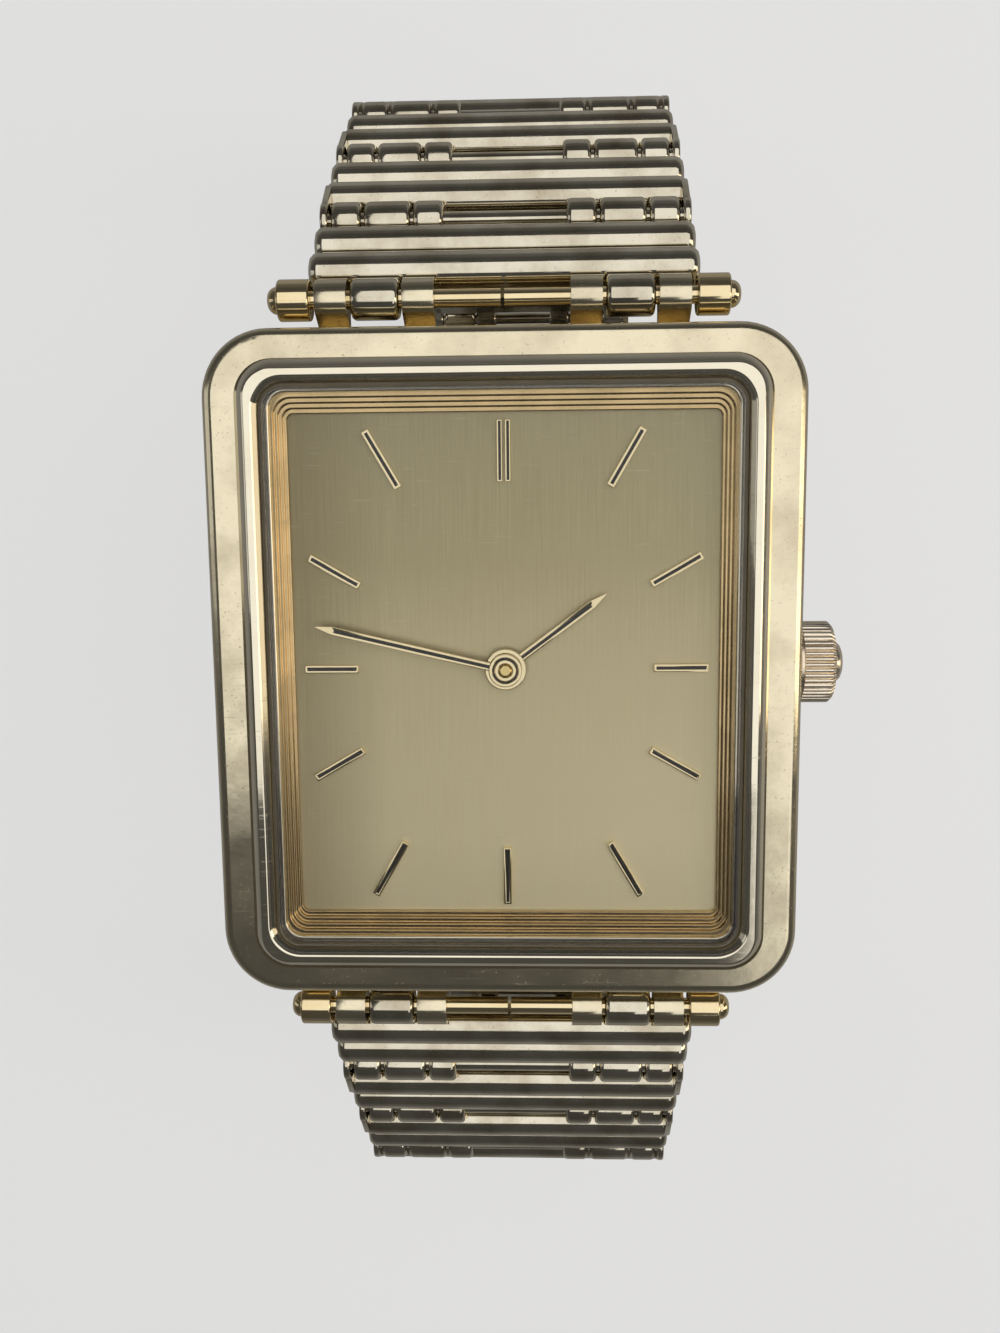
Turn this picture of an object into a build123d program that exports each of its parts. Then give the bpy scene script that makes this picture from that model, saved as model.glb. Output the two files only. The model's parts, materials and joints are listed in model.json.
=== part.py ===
# Rectangular wristwatch on a tapering link bracelet, closed into its loop.
# Millimetres. +Z points out of the dial, +Y to 12 o'clock, +X to the crown.
# The origin is the middle of the case back's outer face.
from build123d import *
from math import asin, cos, degrees, radians, sin
import os

os.makedirs("parts", exist_ok=True)

# Case, seen from the front
case_width = 24.6
case_length = 28.2
case_corner = 2.8
case_land_side = 1.43
case_land_end = 1.24
case_edge_round = 0.45
case_foot_round = 0.6
case_wall = 3.0
cavity_corner = 0.9

# Case, from the back to the crystal
back_thick = 0.8
back_proud = 0.3
movement_lift = 0.15
bridge_thick = 0.3
train_height = 0.95
plate_thick = 0.6
motion_height = 0.8
dial_thick = 0.4
ring_height = 0.9
bezel_lip_thick = 0.2
bezel_skirt = 0.4
bezel_above_lip = 0.7
case_below_crest = 0.6
crystal_proud = 0.15

# Bezel, crystal and dial ring
bezel_corner = 1.55
bezel_width = 0.98
bezel_opening_corner = 1.05
bezel_outer_slope = 0.42
bezel_inner_slope = 0.26
bezel_lip = 0.35
gasket_width = 0.2
gasket_sink = 0.12
crystal_bevel = 0.12
ring_inset = 0.2
ring_width_side = 0.92
ring_width_end = 1.19
ring_window_corner = 0.3
ring_steps = 4

# Fits
seat_gap = 0.02
press_gap = 0.01
running_gap = 0.03
holder_gap = 0.05

# Case back and its fixings
back_margin = 1.3
back_corner = 1.7
back_bevel = 0.25
back_gasket_inset = 2.65
back_gasket_width = 0.25
back_gasket_thick = 0.2
back_gasket_corner = 1.4
screw_margin_x = 2.35
screw_margin_y = 2.45
screw_radius = 0.38
screw_head_radius = 0.72
screw_head_sink = 0.1
screw_head_thick = 0.35
screw_depth = 2.0
screw_slot = 0.16

# Dial furniture
marker_width = 0.33
marker_height = 0.25
marker_bevel = 0.07
marker_twelve_width = 0.56
marker_twelve_groove = 0.12
marker_top = (9.1, 2.52)
marker_near_top = (10.15, 2.7)
marker_near_side = (8.28, 2.4)
marker_side = (7.39, 2.28)
hours_on_dial = 12
hands_lift = 0.35
hand_thick = 0.12
hand_gap = 0.18
hour_hand_length = 5.3
minute_hand_length = 8.18
hand_width = 0.34
hand_point = 0.7
hour_hub_radius = 0.875
minute_hub_radius = 0.7
hub_thick = 0.18
hour_hand_angle = 90 - 53.3
minute_hand_angle = 90 - 283.3

# Movement plates
plate_margin = 1.0
plate_corner = 2.0
dial_foot_x = 7.2
dial_foot_y = 8.7
dial_foot_radius = 0.35
dial_foot_length = 1.2
bridge_middle = (-1.5, -1.4)
bridge_size = (9.4, 9.0)
bridge_corner = 0.8
bridge_posts = ((2.4, -3.2), (-5.4, 0.4), (2.6, 2.4))
post_radius = 0.45
post_screw_radius = 0.2
post_head_radius = 0.38
post_head_thick = 0.16

# Wheel train: teeth, modules and the directions from arbor to arbor
wheel_thick = 0.15
pinion_thick = 0.25
wheel_teeth = 48
fifth_teeth = 40
pinion_teeth = 8
centre_module = 0.1
third_module = 0.09
fifth_module = 0.08
third_direction = 235
fifth_direction = 200
rotor_direction = 250
cannon_teeth = 12
minute_wheel_teeth = 36
minute_pinion_teeth = 10
hour_teeth = 40
minute_direction = -40
tooth_addendum_share = 0.75
tooth_dedendum_share = 1.1
tooth_root_share = 0.5
tooth_pitch_share = 0.38
tooth_tip_share = 0.18
arbor_radius = 0.2
pivot_radius = 0.12
pivot_end_gap = 0.02
arbor_shoulder_gap = 0.03
third_wheel_lift = 0.4
fifth_wheel_lift = 0.1
centre_wheel_lift = 0.7
motion_lift = 0.15
hour_wheel_lift = 0.42
centre_arbor_radius = 0.38
centre_pivot_radius = 0.2
centre_tip_radius = 0.28
centre_tip_above_hub = 0.1
pipe_radius = 0.6
pipe_gap = 0.04
dial_hole_gap = 0.1
minute_post_radius = 0.17
magnet_radius = 0.6
magnet_thick = 0.5
magnet_lift = 0.4

# Electric parts
battery_place = (-3.6, 5.6)
battery_radius = 3.4
battery_thick = 2.15
battery_cap_radius = 2.85
battery_cap_thick = 0.15
battery_bevel = 0.15
battery_gap = 0.1
clip_thick = 0.15
clip_height = 1.0
clip_arc = 70
clip_tab_width = 1.2
clip_tab_length = 1.4
stator_thick = 0.2
stator_drop = 0.15
stator_width = 1.8
stator_leg = 1.0
stator_left = -7.6
stator_right = 2.6
rotor_gap = 0.25
coil_y = -8.0
coil_radius = 0.75
coil_flange_radius = 0.85
coil_flange_thick = 0.25
coil_end_gap = 0.15
coil_core_width = 0.9
board_thick = 0.25
board_left = 1.0
board_right = 7.8
board_low = 3.6
board_high = 9.2
board_corner = 0.6
chip_radius = 0.8
chip_thick = 0.45
chip_place = (2.7, 7.3)
quartz_radius = 0.7
quartz_length = 4.4
quartz_place = (5.9, 6.5)
slot_gap = 0.1

# Crown and stem
crown_radius = 1.75
crown_gap = 0.1
crown_length = 1.48
crown_lip = 0.14
crown_lip_depth = 0.12
crown_bevel = 0.16
crown_flutes = 44
crown_flute_radius = 0.085
crown_cap_radius = 0.89
crown_cap_length = 0.5
crown_cap_round = 0.3
crown_bore_radius = 1.25
crown_bore_depth = 0.7
tube_radius = 1.1
tube_bore = 0.78
stem_radius = 0.35
stem_start = 4.3
stem_groove_at = 6.6
stem_groove_length = 0.4
stem_groove_radius = 0.22
stem_pinion_radius = 0.6
stem_pinion_length = 0.9
stem_drop_from_plate_top = 0.2
stem_gasket_back = 0.65
stem_gasket_length = 0.3
lever_thick = 0.2
lever_width = 1.6
lever_length = 1.7
lever_fork_depth = 0.7
lever_fork_thick = 0.3
lever_lift = 0.2
stem_slot_half = 1.0
stem_hole_radius = 0.55

# Bracelet
lug_reach = 1.2
lug_height = 3.5
link_pitch = 5.5
ridges_per_pitch = 3
ridge_radius = 0.85
link_underside = 0.7
bracelet_half_width = 8.15
row_taper = 0.12
cheek_width = 0.35
column_gap = 0.14
small_width = 1.3
large_width = 2.0
ridge_end_round = 0.7
web_rise = 0.35
link_pin_radius = 0.375
pin_running_gap = 0.04
lug_web_half = 0.6
lug_web_into_case = 0.4
sleeve_gap = 0.1
sleeve_length = 1.35
sleeve_radius = 0.85
sleeve_edge_round = 0.1
dome_radius = 0.56
dome_length = 0.45
dome_round_share = 0.9
lug_pin_break = 0.15

# Bracelet drape: how steeply each link falls away from the case, in degrees
upper_headings = (47, 52, 57, 76, 91, 106, 121, 138, 156)
lower_start_headings = (38, 42, 43, 62, 78, 93, 108, 124)
clasp_heading = 180

# Clasp
clasp_plate_thick = 0.6
clasp_plate_end_gap = 1.1
clasp_hook_back = 1.9
clasp_hook_top = 0.35
clasp_seat_gap = 0.1
clasp_seat_angle = 45
cover_hinge_from_ridge = 1.1
cover_hinge_radius = 0.45
cover_hinge_lift = 0.5
cover_thick = 0.4
cover_wall = 0.4
cover_wall_depth = 1.35
cover_side_gap = 0.05
cover_start = 0.6
cover_end_gap = 1.05
cover_edge_round = 0.2
ear_width = 1.2
ear_inset = 2.0
ear_gap = 0.1
cover_pin_radius = 0.2

# A cutter runs this far past the face that it opens
overrun = 0.5


def inset(outline, by, corner):
    """A plan outline drawn in: half width, half length and corner radius."""
    return (outline[0] - by, outline[1] - by, corner)


def grown(outline, by):
    """The same outline with a clearance all round."""
    return (outline[0] + by, outline[1] + by, outline[2] + by)


def slab(low, high, outline, mode=Mode.ADD):
    """A rounded rectangle in plan, from one height to another."""
    with BuildSketch(Plane.XY.offset(low)) as plan:
        RectangleRounded(2 * outline[0], 2 * outline[1], outline[2])
    extrude(plan.sketch, amount=high - low, mode=mode)


def disc(low, high, place, radius, mode=Mode.ADD):
    """An upright round bar or hole, from one height to another."""
    with BuildSketch(Plane.XY.offset(low)) as plan:
        with Locations(place):
            Circle(radius)
    extrude(plan.sketch, amount=high - low, mode=mode)


def block(low, high, start, stop, mode=Mode.ADD):
    """An upright box between two plan corners."""
    with BuildSketch(Plane.XY.offset(low)) as plan:
        with Locations(((start[0] + stop[0]) / 2, (start[1] + stop[1]) / 2)):
            Rectangle(abs(stop[0] - start[0]), abs(stop[1] - start[1]))
    extrude(plan.sketch, amount=high - low, mode=mode)


def rod(start, stop, radius, height, mode=Mode.ADD):
    """A round bar or hole along X, at the given height above the back."""
    with BuildSketch(Plane.YZ.offset(start)) as section:
        with Locations((0, height)):
            Circle(radius)
    extrude(section.sketch, amount=stop - start, mode=mode)


def write(piece, label):
    """Names one finished piece and writes it."""
    piece.part.label = label
    export_step(piece.part, f"parts/{label}.step")


# Outlines that the case pieces share
case_outline = (case_width / 2, case_length / 2, case_corner)
bezel_outline = (case_outline[0] - case_land_side, case_outline[1] - case_land_end, bezel_corner)
opening_outline = inset(bezel_outline, bezel_width, bezel_opening_corner)
lip_outline = inset(opening_outline, bezel_lip, bezel_opening_corner - bezel_lip)
crystal_outline = inset(opening_outline, gasket_width, bezel_opening_corner - gasket_width)
ring_outline = inset(opening_outline, ring_inset, bezel_opening_corner - ring_inset)
window_half = (opening_outline[0] - ring_width_side, opening_outline[1] - ring_width_end)
window_outline = (*window_half, ring_window_corner)
cavity_outline = inset(case_outline, case_wall, cavity_corner)
back_outline = inset(case_outline, back_margin, back_corner)
back_gasket_outline = inset(case_outline, back_gasket_inset, back_gasket_corner)
plate_outline = inset(cavity_outline, plate_margin, plate_corner)

# Heights that the pieces share
case_bottom = back_proud
bridge_low = back_thick + movement_lift
train_low = bridge_low + bridge_thick
plate_low = train_low + train_height
plate_high = plate_low + plate_thick
dial_low = plate_high + motion_height
dial_high = dial_low + dial_thick
ring_high = dial_high + ring_height
lip_high = ring_high + bezel_lip_thick
bezel_low = ring_high - bezel_skirt
bezel_high = lip_high + bezel_above_lip
case_high = bezel_high - case_below_crest
crystal_high = bezel_high + crystal_proud
stem_height = plate_high - stem_drop_from_plate_top



def pivot_chain(headings):
    """Link pivots of one side, as distances from the case middle and heights."""
    chain = [(case_outline[1] + lug_reach, lug_height)]
    for heading in headings:
        far, high = chain[-1]
        fall = radians(heading)
        chain.append((far + link_pitch * cos(fall), high - link_pitch * sin(fall)))
    return chain


# The last 6 o'clock link falls by what is left, so that the clasp lies level
upper_pivots = pivot_chain(upper_headings)
left_to_fall = pivot_chain(lower_start_headings)[-1][1] - upper_pivots[-1][1]
closing_heading = clasp_heading - degrees(asin(left_to_fall / link_pitch))
lower_headings = (*lower_start_headings, closing_heading)

# Side 1 is at 12 o'clock and side -1 at 6
headings = {1: upper_headings, -1: lower_headings}
pivots = {1: upper_pivots, -1: pivot_chain(lower_headings)}
links_per_side = len(upper_headings)
ridge_step = link_pitch / ridges_per_pitch


def side_plane(side, row, heading):
    """A drawing plane at a row's pivot, x along the link and y out of the loop."""
    far, high = pivots[side][row - 1]
    run = Vector(0, side * cos(radians(heading)), -sin(radians(heading)))
    return Plane(origin=(0, side * far, high), x_dir=run, z_dir=(side, 0, 0))


def row_half(row):
    """Half the bracelet's width at a row of knuckles: row 1 is the one at the case."""
    return bracelet_half_width - (row - 1) * row_taper


def row_columns(row):
    """The near and far X of each knuckle of a row, from the outside in."""
    cheek_in = row_half(row) - cheek_width
    outer_small = cheek_in - column_gap - small_width
    large = outer_small - column_gap - large_width
    inner_small = large - column_gap - small_width
    return {
        "cheek": (cheek_in, row_half(row)),
        "large": (large, large + large_width),
        "small": ((outer_small, outer_small + small_width), (inner_small, inner_small + small_width)),
    }


def both_sides(plane, span, draw, mode=Mode.ADD):
    """Extrudes one side profile over a span of X and over its mirror span."""
    for sign in (1, -1):
        with BuildSketch(plane.offset(sign * span[0])) as profile:
            draw()
        extrude(profile.sketch, amount=sign * (span[1] - span[0]), mode=mode)


def across(plane, half, place, radius, mode=Mode.ADD):
    """A round bar or hole across the bracelet at a place of the side view."""
    with BuildSketch(plane.offset(-half)) as section:
        with Locations(place):
            Circle(radius)
    extrude(section.sketch, amount=2 * half, mode=mode)


def knuckle(at, web_to):
    """A knuckle round a pivot with the web that carries it."""
    with Locations((at, 0)):
        Circle(ridge_radius)
    with Locations(((at + web_to) / 2, (web_rise - link_underside) / 2)):
        Rectangle(abs(web_to - at), web_rise + link_underside)


def cheek():
    """The hood's side wall: as high as the ridge, round at the pivot."""
    Circle(ridge_radius)
    with Locations((ridge_step / 2, (ridge_radius - link_underside) / 2)):
        Rectangle(ridge_step, ridge_radius + link_underside)


def ridge_outline(ridges):
    """Half-round ridges side by side on a flat underside."""
    first = ridges[0] - ridge_radius
    with BuildLine() as outline:
        Line((first, -link_underside), (first, 0))
        for ridge_at in ridges:
            ThreePointArc(
                (ridge_at - ridge_radius, 0), (ridge_at, ridge_radius), (ridge_at + ridge_radius, 0)
            )
            if ridge_at != ridges[-1]:
                Line((ridge_at + ridge_radius, 0), (ridge_at + ridge_step - ridge_radius, 0))
        last = ridges[-1] + ridge_radius
        Line((last, 0), (last, -link_underside))
        Line((last, -link_underside), (first, -link_underside))
    make_face(outline.edges())


def ridge_bars(plane, ridges, halves):
    """The ridged body of a link, with its corners rounded in plan."""
    plan = Plane(origin=plane.origin, x_dir=plane.x_dir, z_dir=plane.y_dir)
    with BuildSketch(plane.offset(-halves[0])) as profile:
        ridge_outline(ridges)
    extrude(profile.sketch, amount=2 * halves[0])
    with BuildSketch(plan.offset(-2 * link_underside)) as trim:
        for ridge_at, half in zip(ridges, halves):
            with Locations((ridge_at, 0)):
                RectangleRounded(2 * ridge_radius, 2 * half, ridge_end_round)
        with Locations(((ridges[0] + ridges[-1]) / 2, 0)):
            Rectangle(ridges[-1] - ridges[0] + ridge_radius, 2 * (halves[-1] - ridge_end_round))
    extrude(trim.sketch, amount=2 * link_underside + 2 * ridge_radius, mode=Mode.INTERSECT)


def hood(plane, row):
    """The near end: large knuckles round the pivot, and cheeks except at the case."""
    columns = row_columns(row)
    if row > 1:
        both_sides(plane, columns["cheek"], cheek)
    both_sides(plane, columns["large"], lambda: knuckle(0, ridge_step))


def case_middle():
    with BuildPart() as piece:
        slab(case_bottom, case_high, case_outline)
        fillet(piece.faces().sort_by(Axis.Z)[-1].edges(), case_edge_round)
        fillet(piece.faces().sort_by(Axis.Z)[0].edges(), case_foot_round)
        slab(case_bottom - overrun, back_thick, grown(back_outline, seat_gap), Mode.SUBTRACT)
        slab(back_thick, back_thick + back_gasket_thick, back_gasket_outline, Mode.SUBTRACT)
        slab(back_thick, dial_high + overrun, cavity_outline, Mode.SUBTRACT)
        slab(dial_high, case_high, grown(ring_outline, seat_gap), Mode.SUBTRACT)
        slab(bezel_low, case_high + overrun, grown(bezel_outline, seat_gap), Mode.SUBTRACT)
        rod(plate_outline[0], case_width, tube_radius + press_gap, stem_height, Mode.SUBTRACT)
        for x in (-back_screw_x, back_screw_x):
            for y in (-back_screw_y, back_screw_y):
                disc(back_thick, screw_top + seat_gap, (x, y), screw_radius + seat_gap, Mode.SUBTRACT)
        for side in (1, -1):
            plane = side_plane(side, 1, clasp_heading)
            for span in row_columns(1)["small"]:
                both_sides(plane, span, lug_knuckle)
            across(plane, lug_end, (0, 0), link_pin_radius + press_gap, Mode.SUBTRACT)
    write(piece, "case_middle")


def lug_knuckle():
    """A lug on the case: a knuckle with a web that runs into the case wall."""
    reach = lug_reach + lug_web_into_case
    Circle(ridge_radius)
    with Locations((reach / 2, 0)):
        Rectangle(reach, 2 * lug_web_half)


# Case back screws stand in the corners of the back
back_screw_x = case_outline[0] - screw_margin_x
back_screw_y = case_outline[1] - screw_margin_y
screw_top = screw_head_sink + screw_depth
lug_start = row_columns(1)["cheek"][0] + sleeve_gap
lug_end = lug_start + sleeve_length


def case_back():
    with BuildPart() as piece:
        slab(0, back_thick, back_outline)
        chamfer(piece.faces().sort_by(Axis.Z)[0].edges(), back_bevel)
        for x in (-back_screw_x, back_screw_x):
            for y in (-back_screw_y, back_screw_y):
                head_high = screw_head_sink + screw_head_thick
                disc(0, head_high, (x, y), screw_head_radius + seat_gap, Mode.SUBTRACT)
                disc(0, back_thick, (x, y), screw_radius + seat_gap, Mode.SUBTRACT)
    write(piece, "case_back")


def case_back_screws():
    head_high = screw_head_sink + screw_head_thick
    with BuildPart() as piece:
        for x in (-back_screw_x, back_screw_x):
            for y in (-back_screw_y, back_screw_y):
                disc(screw_head_sink, head_high, (x, y), screw_head_radius)
                disc(head_high, screw_top, (x, y), screw_radius)
                block(
                    screw_head_sink,
                    screw_head_sink + screw_slot,
                    (x - screw_head_radius, y - screw_slot / 2),
                    (x + screw_head_radius, y + screw_slot / 2),
                    Mode.SUBTRACT,
                )
    write(piece, "case_back_screws")


def case_back_gasket():
    with BuildPart() as piece:
        top = back_thick + back_gasket_thick
        slab(back_thick, top, grown(back_gasket_outline, -press_gap))
        slab(back_thick, top, grown(back_gasket_outline, -back_gasket_width), Mode.SUBTRACT)
    write(piece, "case_back_gasket")


def bezel():
    with BuildPart() as piece:
        slab(bezel_low, bezel_high, bezel_outline)
        chamfer(piece.faces().sort_by(Axis.Z)[-1].edges(), bezel_outer_slope)
        slab(bezel_low, ring_high, grown(ring_outline, seat_gap), Mode.SUBTRACT)
        slab(ring_high, lip_high, lip_outline, Mode.SUBTRACT)
        slab(lip_high, bezel_high, opening_outline, Mode.SUBTRACT)
        rim = piece.faces().filter_by(Plane.XY).sort_by(Axis.Z)[-1].inner_wires()
        chamfer(rim[0].edges(), bezel_inner_slope)
    write(piece, "bezel")


def crystal():
    with BuildPart() as piece:
        slab(lip_high, crystal_high, grown(crystal_outline, -press_gap))
        chamfer(piece.faces().sort_by(Axis.Z)[-1].edges(), crystal_bevel)
    write(piece, "crystal")


def crystal_gasket():
    with BuildPart() as piece:
        top = bezel_high - bezel_inner_slope - gasket_sink
        slab(lip_high, top, grown(opening_outline, -press_gap))
        slab(lip_high, top, crystal_outline, Mode.SUBTRACT)
    write(piece, "crystal_gasket")


def dial_ring():
    step_rise = ring_height / ring_steps
    run_side = (lip_outline[0] - window_outline[0]) / ring_steps
    run_end = (lip_outline[1] - window_outline[1]) / ring_steps
    with BuildPart() as piece:
        slab(dial_high, ring_high, ring_outline)
        for step in range(ring_steps):
            start = dial_high + step * step_rise
            stepped = (
                window_outline[0] + step * run_side,
                window_outline[1] + step * run_end,
                ring_window_corner + step * run_side,
            )
            slab(start, ring_high, stepped, Mode.SUBTRACT)
    write(piece, "dial_ring")


def dial():
    with BuildPart() as piece:
        slab(dial_low, dial_high, grown(cavity_outline, -holder_gap))
        disc(dial_low, dial_high, (0, 0), pipe_radius + dial_hole_gap, Mode.SUBTRACT)
        for sign in (1, -1):
            foot = (-sign * dial_foot_x, sign * dial_foot_y)
            disc(dial_low - dial_foot_length, dial_low, foot, dial_foot_radius)
    write(piece, "dial")


def dial_markers():
    """A baton on each hour line, with a double one at 12."""
    batons = (
        marker_top,
        marker_near_top,
        marker_near_side,
        marker_side,
        marker_near_side,
        marker_near_top,
    )
    with BuildPart() as piece:
        for hour in range(hours_on_dial):
            angle = radians(90 - 360 * hour / hours_on_dial)
            radius, length = batons[hour % len(batons)]
            width = marker_twelve_width if hour == 0 else marker_width
            place = (radius * cos(angle), radius * sin(angle))
            with BuildSketch(Plane.XY.offset(dial_high)):
                with Locations(Location(place, degrees(angle))):
                    Rectangle(length, width)
            extrude(amount=marker_height)
        tops = piece.faces().filter_by(Plane.XY).group_by(Axis.Z)[-1]
        chamfer(tops.edges(), marker_bevel)
        radius, length = marker_top
        block(
            dial_high + marker_height / 2,
            dial_high + marker_height,
            (-marker_twelve_groove / 2, radius - length / 2),
            (marker_twelve_groove / 2, radius + length / 2),
            Mode.SUBTRACT,
        )
    write(piece, "dial_markers")


def gear_points(teeth, module, tooth_at):
    """A toothed outline with one tooth centred on the direction tooth_at, in degrees."""
    pitch = 360 / teeth
    root = module * (teeth / 2 - tooth_dedendum_share)
    middle = module * teeth / 2
    tip = module * (teeth / 2 + tooth_addendum_share)
    flank = (
        (root, -tooth_root_share),
        (middle, -tooth_pitch_share),
        (tip, -tooth_tip_share),
        (tip, tooth_tip_share),
        (middle, tooth_pitch_share),
        (root, tooth_root_share),
    )
    points = []
    for tooth in range(teeth):
        centre = tooth_at + tooth * pitch
        for radius, share in flank:
            angle = radians(centre + share * pitch / 2)
            points.append((radius * cos(angle), radius * sin(angle)))
    return points


def gear(low, thick, place, teeth, module, tooth_at):
    with BuildSketch(Plane.XY.offset(low)) as toothed:
        with Locations(place):
            Polygon(*gear_points(teeth, module, tooth_at), align=None)
    extrude(toothed.sketch, amount=thick)


def step_from(place, direction, distance):
    """The place reached from another one in a direction, in degrees."""
    angle = radians(direction)
    return (place[0] + distance * cos(angle), place[1] + distance * sin(angle))


def centres(teeth, other_teeth, module):
    return module * (teeth + other_teeth) / 2


# Arbors, each one at its gear pair's distance from the last
centre_place = (0, 0)
third_place = step_from(centre_place, third_direction, centres(wheel_teeth, pinion_teeth, centre_module))
fifth_place = step_from(third_place, fifth_direction, centres(wheel_teeth, pinion_teeth, third_module))
rotor_place = step_from(fifth_place, rotor_direction, centres(fifth_teeth, pinion_teeth, fifth_module))
motion_distance = centres(cannon_teeth, minute_wheel_teeth, centre_module)
minute_place = step_from(centre_place, minute_direction, motion_distance)
hour_module = 2 * motion_distance / (hour_teeth + minute_pinion_teeth)

# Heights of the wheels
third_wheel_low = train_low + third_wheel_lift
fifth_wheel_low = train_low + fifth_wheel_lift
centre_wheel_low = train_low + centre_wheel_lift
wheel_overhang = (pinion_thick - wheel_thick) / 2
motion_low = plate_high + motion_lift
minute_wheel_low = motion_low + wheel_overhang
hour_wheel_low = plate_high + hour_wheel_lift
hour_hand_low = dial_high + hands_lift
minute_hand_low = hour_hand_low + hand_thick + hand_gap
pipe_high = hour_hand_low + hub_thick
centre_tip_high = minute_hand_low + hub_thick + centre_tip_above_hub


def arbor(place):
    """A train arbor: a body between shoulders and a thin pivot at each end."""
    disc(bridge_low + pivot_end_gap, plate_high - pivot_end_gap, place, pivot_radius)
    disc(train_low + arbor_shoulder_gap, plate_low - arbor_shoulder_gap, place, arbor_radius)


def centre_wheel():
    with BuildPart() as piece:
        gear(centre_wheel_low, wheel_thick, centre_place, wheel_teeth, centre_module, third_direction)
        cannon_tooth = minute_direction + 180 / cannon_teeth
        gear(motion_low, pinion_thick, centre_place, cannon_teeth, centre_module, cannon_tooth)
        disc(bridge_low + pivot_end_gap, centre_wheel_low, centre_place, centre_pivot_radius)
        disc(train_low + arbor_shoulder_gap, minute_hand_low, centre_place, centre_arbor_radius)
        disc(minute_hand_low, centre_tip_high, centre_place, centre_tip_radius)
        fillet(piece.faces().sort_by(Axis.Z)[-1].edges(), centre_tip_above_hub)
    write(piece, "centre_wheel")


def third_wheel():
    back = third_direction + 180
    with BuildPart() as piece:
        gear(third_wheel_low, wheel_thick, third_place, wheel_teeth, third_module, fifth_direction)
        pinion_low = centre_wheel_low - wheel_overhang
        gear(pinion_low, pinion_thick, third_place, pinion_teeth, centre_module, back + 180 / pinion_teeth)
        arbor(third_place)
    write(piece, "third_wheel")


def fifth_wheel():
    back = fifth_direction + 180
    with BuildPart() as piece:
        gear(fifth_wheel_low, wheel_thick, fifth_place, fifth_teeth, fifth_module, rotor_direction)
        pinion_low = third_wheel_low - wheel_overhang
        gear(pinion_low, pinion_thick, fifth_place, pinion_teeth, third_module, back + 180 / pinion_teeth)
        arbor(fifth_place)
    write(piece, "fifth_wheel")


def rotor():
    back = rotor_direction + 180
    with BuildPart() as piece:
        pinion_low = fifth_wheel_low - wheel_overhang
        gear(pinion_low, pinion_thick, rotor_place, pinion_teeth, fifth_module, back + 180 / pinion_teeth)
        disc(train_low + magnet_lift, train_low + magnet_lift + magnet_thick, rotor_place, magnet_radius)
        arbor(rotor_place)
    write(piece, "rotor")


def minute_wheel():
    back = minute_direction + 180
    pinion_low = minute_wheel_low + wheel_thick
    pinion_high = hour_wheel_low + wheel_thick + wheel_overhang
    with BuildPart() as piece:
        gear(minute_wheel_low, wheel_thick, minute_place, minute_wheel_teeth, centre_module, back)
        tooth = back + 180 / minute_pinion_teeth
        gear(pinion_low, pinion_high - pinion_low, minute_place, minute_pinion_teeth, hour_module, tooth)
        bore = minute_post_radius + running_gap
        disc(minute_wheel_low, pinion_high, minute_place, bore, Mode.SUBTRACT)
    write(piece, "minute_wheel")


def hour_wheel():
    with BuildPart() as piece:
        gear(hour_wheel_low, wheel_thick, centre_place, hour_teeth, hour_module, minute_direction)
        disc(hour_wheel_low, pipe_high, centre_place, pipe_radius)
        disc(hour_wheel_low, pipe_high, centre_place, centre_arbor_radius + pipe_gap, Mode.SUBTRACT)
    write(piece, "hour_wheel")


def hand(label, low, length, hub_radius, bore, angle):
    """A flat pointed baton on a round hub, turned to its reading."""
    along = (cos(radians(angle)), sin(radians(angle)), 0)
    plane = Plane(origin=(0, 0, low), x_dir=along, z_dir=(0, 0, 1))
    half = hand_width / 2
    shoulder = length - hand_point
    with BuildPart() as piece:
        with BuildSketch(plane):
            with BuildLine():
                tip = ((shoulder, half), (length, 0), (shoulder, -half))
                Polyline((0, half), *tip, (0, -half), close=True)
            make_face()
        extrude(amount=hand_thick)
        disc(low, low + hub_thick, (0, 0), hub_radius)
        disc(low, low + hub_thick, (0, 0), bore, Mode.SUBTRACT)
    write(piece, label)


def movement_holder():
    with BuildPart() as piece:
        slab(bridge_low, dial_low, grown(cavity_outline, -holder_gap))
        slab(bridge_low, dial_low, grown(plate_outline, holder_gap), Mode.SUBTRACT)
        rod(stem_start, case_width, stem_hole_radius, stem_height, Mode.SUBTRACT)
    write(piece, "movement_holder")


def main_plate():
    holes = (
        (centre_place, centre_arbor_radius + pipe_gap),
        (third_place, pivot_radius + running_gap),
        (fifth_place, pivot_radius + running_gap),
        (rotor_place, pivot_radius + running_gap),
        (battery_place, battery_radius + battery_gap),
    )
    quartz_half = quartz_radius + slot_gap
    with BuildPart() as piece:
        slab(plate_low, plate_high, plate_outline)
        for place, radius in holes:
            disc(plate_low, plate_high, place, radius, Mode.SUBTRACT)
        for place in bridge_posts:
            disc(plate_low, plate_high, place, post_screw_radius + seat_gap, Mode.SUBTRACT)
        for sign in (1, -1):
            foot = (-sign * dial_foot_x, sign * dial_foot_y)
            disc(plate_low, plate_high, foot, dial_foot_radius + holder_gap, Mode.SUBTRACT)
        block(
            plate_low,
            plate_high,
            (stator_left + stator_leg, coil_y - coil_flange_radius - slot_gap),
            (stator_right - stator_leg, coil_y + coil_flange_radius + slot_gap),
            Mode.SUBTRACT,
        )
        block(
            plate_low,
            plate_high,
            (quartz_place[0] - quartz_half, quartz_place[1] - quartz_length / 2 - slot_gap),
            (quartz_place[0] + quartz_half, quartz_place[1] + quartz_length / 2 + slot_gap),
            Mode.SUBTRACT,
        )
        slot_start = stem_start - slot_gap
        stem_slot = ((slot_start, -stem_slot_half), (case_width, stem_slot_half))
        block(plate_low, plate_high, *stem_slot, Mode.SUBTRACT)
        disc(plate_high, hour_wheel_low + wheel_thick, minute_place, minute_post_radius)
    write(piece, "main_plate")


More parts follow.
